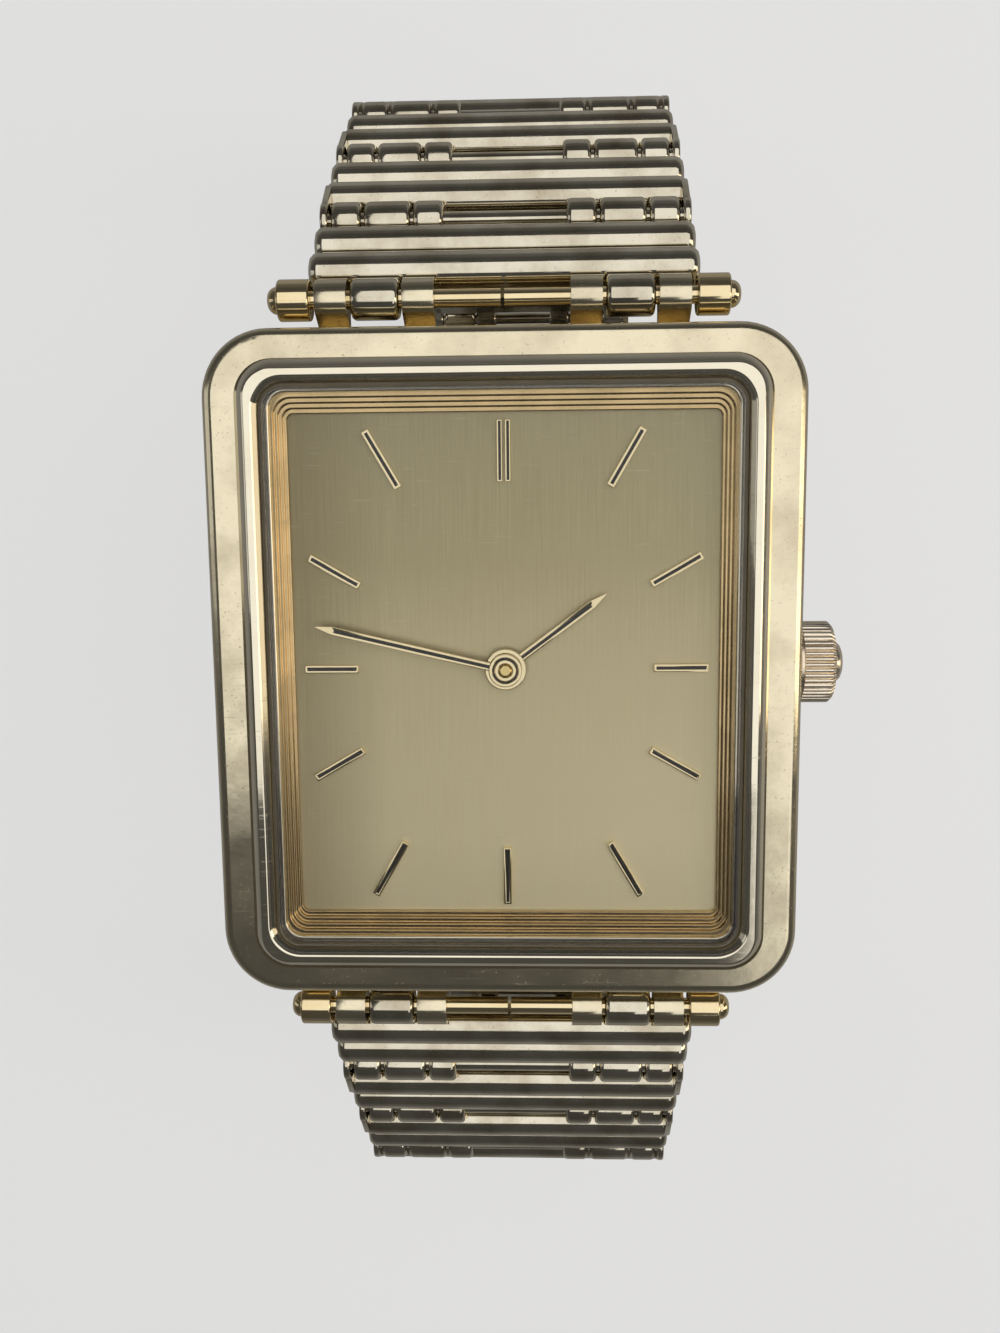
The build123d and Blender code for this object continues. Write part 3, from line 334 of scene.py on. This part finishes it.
def champagneDial(name, look):
    material, shader = startFinish(name, look["colour"], look["metallic"], look["roughness"])
    links = material.node_tree.links
    plain = patternCoords(material)
    parts = material.node_tree.nodes.new("ShaderNodeSeparateXYZ")
    links.new(plain, parts.inputs[0])
    grain = noiseOf(material, patternCoords(material, look["grainStretch"]), 1.0, 4, 0.7)
    fine = noiseOf(material, patternCoords(material, look["fineStretch"]), 1.0, 2, 0.6)
    clouds = noiseOf(material, plain, look["cloudScale"], 3)
    specks = noiseOf(material, plain, look["speckScale"], 2, 0.5)
    scratches = scratchesOf(material, look["directions"], look["density"], *look["scratchStretch"])
    layers = (
        (spread(material, clouds, look["cloudSpan"], (0.0, look["cloud"])), look["cloudColour"]),
        (spread(material, specks, look["speckSpan"], (0.0, look["speck"])), look["speckColour"]),
        # painted light and shade: the dial turns lighter towards the bottom and darker towards the top and
        # the left edge
        (spread(material, parts.outputs["Y"], look["footSpan"], (0.0, look["foot"])), look["footPaintedLight"]),
        (spread(material, parts.outputs["Y"], look["headSpan"], (0.0, look["head"])), look["headPaintedShade"]),
        (spread(material, parts.outputs["X"], look["sideSpan"], (0.0, look["side"])), look["sidePaintedShade"]),
        (shareOf(material, scratches, look["scratch"]), look["scratchColour"]),
    )
    colour = look["colour"]
    for share, tint in layers:
        colour = blended(material, share, colour, tint)
    # The grain lightens and darkens what lies under it
    light = spread(material, grain, look["grainSpan"])
    light = blended(material, light, look["grainDark"], look["grainLight"])
    colour = blended(material, look["grain"], colour, light, "OVERLAY")
    links.new(colour, shader.inputs["Base Color"])
    levels = [look["roughness"] + change for change in look["roughChanges"]]
    links.new(spread(material, fine, look["grainSpan"], levels), shader.inputs["Roughness"])
    addBump(material, shader, combine(material, grain, fine), look["depth"])
    return material


def clearCrystal(name, look):
    material, shader = startFinish(name, look["colour"], 0.0, look["roughness"])
    links = material.node_tree.links
    shader.inputs["IOR"].default_value = look["ior"]
    scratches = scratchesOf(material, look["directions"], look["density"], *look["scratchStretch"])
    flat = material.node_tree.nodes.new("ShaderNodeNewGeometry")
    parts = material.node_tree.nodes.new("ShaderNodeSeparateXYZ")
    links.new(flat.outputs["Normal"], parts.inputs[0])
    level = combine(material, parts.outputs["Z"], 0, "ABSOLUTE")
    # painted shade: the rim and sloped faces of the crystal turn dark and half opaque, standing for light
    # bent at the glass edge
    facing = spread(material, level, look["edgeSpan"], (look["edgeAlpha"], look["alpha"]))
    alpha = combine(material, facing, shareOf(material, scratches, look["scratch"]))
    links.new(alpha, shader.inputs["Alpha"])
    material.surface_render_method = "BLENDED"
    return material


plainCommon = {
    "metallic": 0.0,
    "stretch": (1, 1, 1),
    "cloudScale": 0.6,
    "cloudSpan": (0.35, 0.7),
    "shadeShare": 0.6,
    "roughSpan": (0.3, 0.7),
    "roughShares": (0.85, 1.2),
}


def plainPart(name, ownLook):
    look = {**plainCommon, **ownLook}
    material, shader = startFinish(name, look["colour"], look["metallic"], look["roughness"])
    links = material.node_tree.links
    grain = noiseOf(material, patternCoords(material, look["stretch"]), look["grainScale"], 3, 0.6)
    clouds = noiseOf(material, patternCoords(material), look["cloudScale"], 3)
    shade = spread(material, clouds, look["cloudSpan"], (0.0, look["shadeShare"]))
    links.new(blended(material, shade, look["colour"], look["shade"]), shader.inputs["Base Color"])
    levels = [look["roughness"] * share for share in look["roughShares"]]
    links.new(spread(material, grain, look["roughSpan"], levels), shader.inputs["Roughness"])
    addBump(material, shader, grain, look["depth"])
    return material


goldLooks = {
    "case_gold": {
        "colour": (0.82, 0.73, 0.52), "worn": (0.62, 0.53, 0.37), "patina": 0.8, "roughness": 0.16,
        "scratch": 0.07, "density": 0.69, "pits": 0.75, "pitColour": (0.30, 0.25, 0.17), "dent": 0.005,
    },
    "bezel_gold": {
        "colour": (0.86, 0.79, 0.62), "worn": (0.70, 0.60, 0.42), "patina": 0.3, "roughness": 0.07,
        "scratch": 0.10, "pits": 0.12, "pitColour": (0.40, 0.33, 0.22), "dent": 0.0015,
    },
    "bracelet_gold": {
        "colour": (0.74, 0.68, 0.54), "worn": (0.42, 0.35, 0.24), "patina": 0.85, "roughness": 0.08,
        "scratch": 0.10, "density": 0.64, "directions": (4, 176, 92),
        "pits": 0.55, "pitColour": (0.12, 0.09, 0.06), "dent": 0.004,
    },
    "sleeve_gold": {
        "colour": (0.87, 0.72, 0.44), "worn": (0.78, 0.58, 0.30), "patina": 0.4, "roughness": 0.10,
        "scratch": 0.12, "pits": 0.2, "pitColour": (0.40, 0.28, 0.12), "dent": 0.002,
    },
    "crown_gold": {
        "colour": (0.93, 0.82, 0.66), "worn": (0.80, 0.66, 0.50), "patina": 0.4, "roughness": 0.24,
        "scratch": 0.14, "pits": 0.3, "pitColour": (0.30, 0.22, 0.14), "dent": 0.002,
    },
    "ring_gold": {
        "colour": (0.62, 0.46, 0.24), "worn": (0.42, 0.32, 0.16), "patina": 0.7, "roughness": 0.14,
        "scratch": 0.08, "pits": 0.1, "pitColour": (0.35, 0.24, 0.10), "dent": 0.0015,
    },
    "hands_gold": {
        "colour": (0.80, 0.68, 0.42), "worn": (0.66, 0.54, 0.30), "patina": 0.3, "roughness": 0.08,
        "scratch": 0.05, "pits": 0.05, "pitColour": (0.30, 0.24, 0.14), "dent": 0.0008,
    },
}

# The foot, head and side spans are places on the dial in millimetres; over them the colour holds painted
# light and shade: lighter towards the bottom, darker towards the top and towards the left edge
dialLook = {
    "colour": (0.60, 0.52, 0.31), "metallic": 0.60, "roughness": 0.40, "roughChanges": (-0.05, 0.07),
    "grain": 0.30, "grainDark": (0.36, 0.36, 0.34), "grainLight": (0.66, 0.66, 0.64),
    "grainSpan": (0.3, 0.7), "grainStretch": (16, 0.22, 1), "fineStretch": (40, 3, 1), "depth": 0.002,
    "cloud": 0.45, "cloudColour": (0.60, 0.50, 0.28), "cloudScale": 0.18, "cloudSpan": (0.35, 0.7),
    "speck": 0.45, "speckColour": (0.40, 0.34, 0.18), "speckScale": 14.0, "speckSpan": (0.66, 0.76),
    "foot": 1.0, "footPaintedLight": (0.98, 0.86, 0.55), "footSpan": (4.5, -7.5),
    "head": 0.55, "headPaintedShade": (0.34, 0.31, 0.20), "headSpan": (2.0, 11.0),
    "side": 0.5, "sidePaintedShade": (0.28, 0.23, 0.12), "sideSpan": (-5.0, -8.5),
    "scratch": 0.30, "scratchColour": (0.80, 0.74, 0.52), "scratchStretch": (0.6, 12.0),
    "directions": (58, 131), "density": 0.70,
}

crystalLook = {
    "colour": (0.10, 0.10, 0.11), "roughness": 0.03, "ior": 1.52,
    # edgeAlpha and edgeSpan paint a dark, half opaque rim on the crystal: painted shade
    "alpha": 0.035, "edgeAlpha": 0.55, "edgeSpan": (0.80, 0.98),
    "scratch": 0.10, "scratchStretch": (0.5, 14.0), "directions": (35, 118), "density": 0.735,
}

plainLooks = {
    "gasket_clear": {
        "colour": (0.20, 0.16, 0.09), "shade": (0.12, 0.10, 0.06), "roughness": 0.45,
        "grainScale": 3.0, "depth": 0.003,
    },
    "gasket_black": {
        "colour": (0.03, 0.03, 0.03), "shade": (0.05, 0.05, 0.05), "roughness": 0.7,
        "grainScale": 4.0, "depth": 0.004,
    },
    "holder_white": {
        "colour": (0.80, 0.80, 0.76), "shade": (0.70, 0.69, 0.62), "roughness": 0.5,
        "grainScale": 5.0, "depth": 0.003,
    },
    "movement_nickel": {
        "colour": (0.66, 0.65, 0.60), "shade": (0.55, 0.54, 0.49), "metallic": 1.0, "roughness": 0.32,
        "grainScale": 1.0, "stretch": (0.4, 22, 1), "depth": 0.002,
    },
    "wheel_brass": {
        "colour": (0.80, 0.63, 0.28), "shade": (0.66, 0.50, 0.20), "metallic": 1.0, "roughness": 0.24,
        "grainScale": 9.0, "depth": 0.001,
    },
    "steel": {
        "colour": (0.58, 0.58, 0.60), "shade": (0.46, 0.46, 0.48), "metallic": 1.0, "roughness": 0.25,
        "grainScale": 8.0, "depth": 0.001,
    },
    "battery_steel": {
        "colour": (0.74, 0.74, 0.75), "shade": (0.62, 0.62, 0.63), "metallic": 1.0, "roughness": 0.18,
        "grainScale": 5.0, "depth": 0.001,
    },
    "coil_copper": {
        "colour": (0.60, 0.26, 0.09), "shade": (0.44, 0.17, 0.05), "metallic": 0.6, "roughness": 0.30,
        "grainScale": 1.0, "stretch": (18, 0.5, 0.5), "depth": 0.02,
    },
    "board_green": {
        "colour": (0.03, 0.20, 0.11), "shade": (0.02, 0.14, 0.08), "roughness": 0.35,
        "grainScale": 2.5, "depth": 0.006,
    },
    "rotor_dark": {
        "colour": (0.12, 0.12, 0.13), "shade": (0.08, 0.08, 0.09), "metallic": 0.5, "roughness": 0.5,
        "grainScale": 12.0, "depth": 0.004,
    },
    # painted reflection and shade: the dark line let into the markers and hands stands for dark
    # surroundings mirrored in their polished tops, and the dark groove in the minute hand's hub is painted
    # shade
    "dark_reflection_and_shade_paint": {
        "colour": (0.035, 0.030, 0.022), "shade": (0.06, 0.05, 0.035), "roughness": 0.22,
        "grainScale": 6.0, "depth": 0.001,
    },
}

finishes = {slot: polishedGold(slot, look) for slot, look in goldLooks.items()}
finishes.update({slot: plainPart(slot, look) for slot, look in plainLooks.items()})
finishes["dial_champagne"] = champagneDial("dial_champagne", dialLook)
finishes["crystal_clear"] = clearCrystal("crystal_clear", crystalLook)


def dressNodes():
    for name, node in frame["nodes"].items():
        finish = finishes[slotOf[name]]
        if node.material_slots:
            for place in node.material_slots:
                place.material = finish
        else:
            node.data.materials.append(finish)


dressNodes()
print("nodes dressed")

# Shapes are made in millimetres: x across the bracelet, y along the piece, z outwards

steep = radians(60)  # a made edge sharper than this is a corner
mergeWithin = 0.0005


def roundEdges(shape, edges, rim, steps=3, material=-1):
    return bmesh.ops.bevel(
        shape, geom=list(edges), offset=rim, offset_type="OFFSET", segments=steps, profile=0.5,
        affect="EDGES", clamp_overlap=True, material=material,
    )


# A bar along x; what would reach below the floor is flattened onto it
def addBar(shape, span, place, radius, rim, floor=None, segments=36):
    turn = Matrix.Rotation(pi / 2, 4, "Y")
    middle = Matrix.Translation(((span[0] + span[1]) / 2, place[0], place[1]))
    made = bmesh.ops.create_cone(
        shape, cap_ends=True, segments=segments, radius1=radius, radius2=radius,
        depth=span[1] - span[0], matrix=middle @ turn,
    )
    faces = {face for vert in made["verts"] for face in vert.link_faces}
    rims = {edge for face in faces if len(face.verts) > 4 for edge in face.edges}
    verts = set(made["verts"])
    if rim:
        verts |= set(roundEdges(shape, rims, rim)["verts"])
    if floor is not None:
        for vert in verts:
            if vert.is_valid and vert.co.z < floor:
                vert.co.z = floor


def addBlock(shape, low, high, rim=0):
    size = [far - near for near, far in zip(low, high)]
    middle = [(far + near) / 2 for near, far in zip(low, high)]
    place = Matrix.Translation(middle) @ Matrix.Diagonal((*size, 1))
    made = bmesh.ops.create_cube(shape, size=1, matrix=place)
    if rim:
        roundEdges(shape, {edge for vert in made["verts"] for edge in vert.link_edges}, rim, 2)


pieceShading = {
    "flat": 0.9999,  # faces as square to an axis as this stay flat beside round edges
    "weight": 80,
}


# The piece takes its finish and its body from the CAD node that it replaces
def finishPiece(name, shape, node, place=Matrix.Identity(4), sharp=38, even=False, paintedDark=None):
    bmesh.ops.transform(shape, matrix=place, verts=shape.verts)
    bmesh.ops.scale(shape, vec=(0.001, 0.001, 0.001), verts=shape.verts)
    bmesh.ops.recalc_face_normals(shape, faces=shape.faces)
    mesh = bpy.data.meshes.new(name)
    shape.to_mesh(mesh)
    shape.free()
    mesh.materials.append(finishes[slotOf[node]])
    # a second finish paints dark reflection and shade onto chosen faces
    if paintedDark:
        mesh.materials.append(finishes[paintedDark])
    mesh.shade_smooth()
    mesh.set_sharp_from_angle(angle=radians(sharp))
    for polygon in mesh.polygons:
        if max(abs(value) for value in polygon.normal) > pieceShading["flat"]:
            polygon.use_smooth = False
    piece = bpy.data.objects.new(name, mesh)
    scene.collection.objects.link(piece)
    if even:  # long ridges shine straight to their ends
        weighted = piece.modifiers.new("evenNormals", "WEIGHTED_NORMAL")
        weighted.keep_sharp = True
        weighted.weight = pieceShading["weight"]
    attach(piece, bodyOf[node])
    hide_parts(node)
    return piece


# The edges of a CAD piece are rounded off on a merged copy of its mesh
def mergedCopy(name, beyond=0):
    node = frame["nodes"][name]
    shape = bmesh.new()
    shape.from_mesh(node.data)
    shape.transform(node.matrix_world)
    bmesh.ops.scale(shape, vec=(1000, 1000, 1000), verts=shape.verts)
    bmesh.ops.remove_doubles(shape, verts=shape.verts, dist=mergeWithin)
    verts = [vert for vert in shape.verts if abs(vert.co.y) >= beyond]
    edges = [edge for edge in shape.edges if all(abs(end.co.y) >= beyond for end in edge.verts)]
    bmesh.ops.dissolve_limit(shape, angle_limit=radians(0.5), verts=verts, edges=edges)
    return shape


def soften(name, rim, corner=radians(35)):
    shape = mergedCopy(name)
    closed = [edge for edge in shape.edges if len(edge.link_faces) == 2]
    roundEdges(shape, [edge for edge in closed if edge.calc_face_angle() > corner], rim)
    return finishPiece(name + "Softened", shape, name)


edgeRims = {
    "bezel": 0.05,
    "dial_ring": 0.035,
    "lug_sleeves": 0.02,
    "case_back": 0.06,
    "case_back_screws": 0.03,
    "crystal": 0.025,
    "clasp_blade": 0.05,
    "clasp_cover": 0.05,
    "clasp_end_bar": 0.04,
}
for nodeName, nodeRim in edgeRims.items():
    soften(nodeName, nodeRim)
print("edges softened")

# The case: its lug webs fall away to the wall, and the lug knuckles get round shoulders

lugShape = {
    "wall": 14.1,
    "wallMargin": 0.05,
    "webTop": 4.1,
    "webMargin": 0.02,
    "fall": 1.05,
    "pivot": (15.3, 3.5),
    "inner": -0.56,  # how far behind the pivot the knuckles begin
    "boreEdge": 0.5,
    "shoulder": 0.16,
    "sharp": 30,
}


def makeCase(look):
    shape = mergedCopy("case_middle", look["wall"] + look["wallMargin"])
    for vert in shape.verts:
        offWall, offTop = abs(vert.co.y) - look["wall"], vert.co.z - look["webTop"]
        if max(abs(offWall), abs(offTop)) < look["webMargin"]:
            vert.co.z -= look["fall"]
    shoulders = []
    for edge in shape.edges:
        spots = [(abs(end.co.y) - look["pivot"][0], end.co.z - look["pivot"][1]) for end in edge.verts]
        outside = all((along ** 2 + rise ** 2) ** 0.5 > look["boreEdge"] for along, rise in spots)
        around = outside and all(along > look["inner"] for along, rise in spots)
        level = abs(edge.verts[0].co.x - edge.verts[1].co.x) < 0.001
        if around and level and len(edge.link_faces) == 2 and edge.calc_face_angle() > steep:
            shoulders.append(edge)
    roundEdges(shape, shoulders, look["shoulder"])
    return finishPiece("caseDressed", shape, "case_middle", sharp=look["sharp"])


makeCase(lugShape)
print("case made")

# The crown: a turned profile whose rim is cut into round-topped ridges with narrow grooves

crownShape = {
    "bore": (1.25, 0.7),
    "profile": (
        (0.0, 1.60), (0.03, 1.63), (0.14, 1.63), (0.16, 1.75), (0.74, 1.75), (1.32, 1.75), (1.48, 1.59),
        (1.48, 0.92), (1.50, 0.89), (1.62, 0.88), (1.75, 0.83), (1.86, 0.72), (1.93, 0.55), (1.97, 0.30),
        (1.98, 0.0),
    ),
    "ridges": 44,
    "sink": (0.10, 0.035, 0.006, 0.0, 0.006, 0.035),  # how deep each step across a ridge lies
    "ridgeRadius": 1.5,  # the ridges lie outside this
    "ridgeSpan": (0.15, 1.4),  # and between these along the crown, past which they run out
    "endShare": 0.5,
    "sharp": 32,
}


def makeCrown(look):
    low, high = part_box("crown")
    shape = bmesh.new()
    boreRadius, boreDepth = look["bore"]
    corners = ((boreDepth, 0.0), (boreDepth, boreRadius), (0.0, boreRadius), *look["profile"])
    verts = [shape.verts.new((along, 0, radius)) for along, radius in corners]
    edges = [shape.edges.new(pair) for pair in zip(verts, verts[1:])]
    perRidge = len(look["sink"])
    steps = look["ridges"] * perRidge
    bmesh.ops.spin(
        shape, geom=verts + edges, cent=(0, 0, 0), axis=(1, 0, 0), angle=2 * pi, steps=steps,
        use_merge=True, use_duplicate=False,
    )
    bmesh.ops.remove_doubles(shape, verts=shape.verts, dist=mergeWithin)
    ridgeStart, ridgeEnd = look["ridgeSpan"]
    for vert in shape.verts:
        radius = (vert.co.y ** 2 + vert.co.z ** 2) ** 0.5
        step = round(atan2(vert.co.y, vert.co.z) / (2 * pi) * steps)
        if radius > look["ridgeRadius"] and vert.co.x > ridgeStart:
            depth = look["sink"][step % perRidge] * (1 if vert.co.x < ridgeEnd else look["endShare"])
            vert.co.y *= 1 - depth / radius
            vert.co.z *= 1 - depth / radius
    place = Matrix.Translation((low[0] * 1000, (low[1] + high[1]) * 500, (low[2] + high[2]) * 500))
    return finishPiece("crownDressed", shape, "crown", place, look["sharp"])


makeCrown(crownShape)
print("crown made")

# Hour markers and hands: bars with bevelled edges and a line let into their tops, painted dark as a painted
# reflection of dark surroundings


# A pointed bar keeps its tip plain
def addBaton(shape, look, length, width, margin, place, angle, low, pointed=0):
    baton = bmesh.new()
    height = look["height"]
    middle = Matrix.Translation((0, 0, height / 2))
    bmesh.ops.create_cube(baton, size=1, matrix=middle @ Matrix.Diagonal((length, width, height, 1)))
    lineEnd = length / 2 - pointed
    if pointed:
        everything = [*baton.verts, *baton.edges, *baton.faces]
        bmesh.ops.bisect_plane(baton, geom=everything, plane_co=(lineEnd, 0, 0), plane_no=(1, 0, 0))
        for vert in baton.verts:
            if vert.co.x > length / 2 - 0.001:
                vert.co.y *= look["tip"]
    baton.normal_update()
    tops = [face for face in baton.faces if face.normal.z > 0.9]
    rims = [edge for face in tops for edge in face.edges if edge.calc_face_angle() > steep]
    line = [face for face in tops if face.calc_center_median().x < lineEnd]
    bmesh.ops.inset_individual(
        baton, faces=line, thickness=margin, depth=-look["sink"], use_even_offset=True,
    )
    # the sunk line takes the dark paint: a painted reflection of dark surroundings in the polished top
    for face in line:
        face.material_index = 1
    roundEdges(baton, rims, look["rim"], 2, 0)
    turn = Matrix.Translation((*place, low)) @ Matrix.Rotation(radians(angle), 4, "Z")
    bmesh.ops.transform(baton, matrix=turn, verts=baton.verts)
    carrier = bpy.data.meshes.new("baton")
    baton.to_mesh(carrier)
    baton.free()
    shape.from_mesh(carrier)
    bpy.data.meshes.remove(carrier)


markerShape = {
    "dialTop": 4.0,
    "width": 0.33,
    "margin": 0.095,
    "height": 0.25,
    "sink": 0.02,
    "rim": 0.035,
    "doubleWidth": 0.22,
    "doubleMargin": 0.06,
    "doublePlace": 0.17,
    # radius and length of the markers from 12 to 5, which come again from 6 to 11
    "places": ((9.1, 2.52), (10.15, 2.7), (8.28, 2.4), (7.39, 2.28), (8.28, 2.4), (10.15, 2.7)),
}
batonSharp = 25


def makeMarkers(look):
    shape = bmesh.new()
    single = ((look["width"], look["margin"], 0),)
    double = [(look["doubleWidth"], look["doubleMargin"], side * look["doublePlace"]) for side in (-1, 1)]
    for hour in range(12):
        radius, length = look["places"][hour % 6]
        angle = 90 - 30 * hour
        across, up = radius * cos(radians(angle)), radius * sin(radians(angle))
        for width, margin, shift in single if hour else double:
            addBaton(shape, look, length, width, margin, (across + shift, up), angle, look["dialTop"])
    return finishPiece("dialMarkersDressed", shape, "dial_markers", sharp=batonSharp, paintedDark="dark_reflection_and_shade_paint")


makeMarkers(markerShape)

handShapes = {
    "hour_hand": {
        "low": 4.35, "length": 5.3, "angle": 36.7, "hub": 0.875, "bore": 0.66, "groove": 0.0,
    },
    "minute_hand": {
        "low": 4.65, "length": 8.18, "angle": -193.3, "hub": 0.7, "bore": 0.29, "groove": 0.46,
    },
}
handCommon = {
    "width": 0.34, "height": 0.12, "margin": 0.10, "sink": 0.015, "rim": 0.02, "point": 0.7, "tip": 0.15,
    "hubThick": 0.18, "hubRim": 0.04, "hubOverlap": 0.12,
    "grooveWidth": 0.08, "grooveDepth": 0.08, "grooveMargin": 0.01,
}


def addRing(shape, inner, outer, low, high, rim, segments=72):
    profile = ((inner, low), (outer, low), (outer, high), (inner, high))
    verts = [shape.verts.new((radius, 0, height)) for radius, height in profile]
    edges = [shape.edges.new((verts[index], verts[(index + 1) % 4])) for index in range(4)]
    bmesh.ops.spin(
        shape, geom=verts + edges, cent=(0, 0, 0), axis=(0, 0, 1), angle=2 * pi, steps=segments,
        use_merge=True, use_duplicate=False,
    )

    def onTopRim(vert):
        radius = vert.co.xy.length
        return abs(vert.co.z - high) < 0.0001 and min(abs(radius - outer), abs(radius - inner)) < 0.001

    closed = [edge for edge in shape.edges if len(edge.link_faces) == 2 and edge.calc_face_angle(0) > steep]
    roundEdges(shape, [edge for edge in closed if all(map(onTopRim, edge.verts))], rim)


def makeHand(name, look, common):
    shape = bmesh.new()
    bore, groove, hub = look["bore"], look["groove"], look["hub"]
    low, high = look["low"], look["low"] + common["hubThick"]
    if groove:
        margin, grooveEnd = common["grooveMargin"], groove + common["grooveWidth"]
        addRing(shape, bore, groove, low, high, common["hubRim"])
        before = set(shape.faces)
        addRing(shape, groove - margin, grooveEnd + margin, low, high - common["grooveDepth"], margin)
        # the hub groove takes the dark paint: painted shade in the recess
        for face in set(shape.faces) - before:
            face.material_index = 1
        addRing(shape, grooveEnd, hub, low, high, common["hubRim"])
    else:
        addRing(shape, bore, hub, low, high, common["hubRim"])
    start = hub - common["hubOverlap"]
    length = look["length"] - start
    angle = radians(look["angle"])
    middle = (start + length / 2) * cos(angle), (start + length / 2) * sin(angle)
    width, margin, point = common["width"], common["margin"], common["point"]
    addBaton(shape, common, length, width, margin, middle, look["angle"], low, point)
    return finishPiece(name + "Dressed", shape, name, sharp=batonSharp, paintedDark="dark_reflection_and_shade_paint")


for handName, handShape in handShapes.items():
    makeHand(handName, handShape, handCommon)
print("markers and hands made")

# Bracelet

braceletShape = {
    "pitch": 5.5,
    "start": (15.3, 3.5),  # the lug pivot: distance from the middle, and height
    "upper": (47, 52, 57, 76, 91, 106, 121, 138, 156),
    "lower": (38, 42, 43, 62, 78, 93, 108, 124),
    "halfWidth": 8.15,
    "taper": 0.12,
    "radius": 0.85,
    "under": -0.7,
    "cheek": 0.35,
    "cheekRim": 0.1,
    "cheekInsets": (0.02, 0.04),  # round and square part end a little inside the hood
    "gap": 0.14,
    "small": 1.3,
    "large": 2.0,
    "ridgeRim": 0.42,
    "ridgeInset": 0.25,
    "knuckleRim": 0.22,
    "tongueTop": 0.3,
    "tongueInset": 0.1,
    "fillTop": -0.1,
    "fillInset": 0.5,
    "pinRadius": 0.375,
    "pinInset": 0.05,
    "pinSegments": 24,
}


def chainOf(headings, look):
    chain = [look["start"]]
    for heading in headings:
        far, high = chain[-1]
        fall = radians(heading)
        chain.append((far + look["pitch"] * cos(fall), high - look["pitch"] * sin(fall)))
    return chain


# Half width of a row, where its cheeks begin, and the spans of its large and small knuckles
def columnsOf(row, look):
    half = look["halfWidth"] - (row - 1) * look["taper"]
    cheek = half - look["cheek"]
    outer = cheek - look["gap"] - look["small"]
    large = outer - look["gap"] - look["large"]
    inner = large - look["gap"] - look["small"]
    smalls = [(start, start + look["small"]) for start in (outer, inner)]
    return half, cheek, (large, large + look["large"]), smalls


def makeLink(name, side, number, pivot, heading, look):
    pitch, step = look["pitch"], look["pitch"] / 3
    radius, under = look["radius"], look["under"]
    half, cheek, large, _ = columnsOf(number, look)
    smalls = columnsOf(number + 1, look)[-1]
    barInset, blockInset = look["cheekInsets"]
    inset, top = look["tongueInset"], look["tongueTop"]
    shape = bmesh.new()
    for ridge, reach in ((step, half), (2 * step, half - look["taper"] / 2)):
        addBar(shape, (-reach, reach), (ridge, 0), radius, look["ridgeRim"], under)
        reach -= look["ridgeInset"]
        addBlock(shape, (-reach, ridge - radius, under), (reach, ridge + radius, 0))
    fill = half - look["fillInset"]
    addBlock(shape, (-fill, step, under), (fill, 2 * step, look["fillTop"]))
    for sign in (1, -1):
        low, high = sorted(sign * end for end in large)
        addBar(shape, (low, high), (0, 0), radius, look["knuckleRim"], under)
        addBlock(shape, (low + inset, 0, under), (high - inset, step, top))
        if number > 1:
            span = sorted((sign * cheek, sign * (half - barInset)))
            addBar(shape, span, (0, 0), radius, look["cheekRim"], under)
            low, high = sorted((sign * cheek, sign * (half - blockInset)))
            addBlock(shape, (low, 0, under), (high, step, radius), look["cheekRim"])
        for span in smalls:
            low, high = sorted(sign * end for end in span)
            addBar(shape, (low, high), (pitch, 0), radius, look["knuckleRim"], under)
            addBlock(shape, (low + inset, 2 * step, under), (high - inset, pitch, top))
    if number > 1:
        pinEnd = half - look["pinInset"]
        addBar(shape, (-pinEnd, pinEnd), (0, 0), look["pinRadius"], 0, segments=look["pinSegments"])
    lean = radians(heading)
    along, outward = (0, side * cos(lean), -sin(lean)), (0, side * sin(lean), cos(lean))
    turn = Matrix(((side, 0, 0), along, outward)).transposed().to_4x4()
    place = Matrix.Translation((0, side * pivot[0], pivot[1])) @ turn
    return finishPiece(name + "Dressed", shape, name, place, even=True)


def makeBracelet(look):
    upperChain = chainOf(look["upper"], look)
    leftToFall = chainOf(look["lower"], look)[-1][1] - upperChain[-1][1]
    lastHeading = 180 - degrees(asin(leftToFall / look["pitch"]))  # ends level with the upper side
    lower = (*look["lower"], lastHeading)
    for word, side, headings in (("upper", 1, look["upper"]), ("lower", -1, lower)):
        chain = chainOf(headings, look)
        for number, (pivot, heading) in enumerate(zip(chain, headings), 1):
            makeLink(f"{word}_link_{number}", side, number, pivot, heading, look)


makeBracelet(braceletShape)
print("bracelet made")
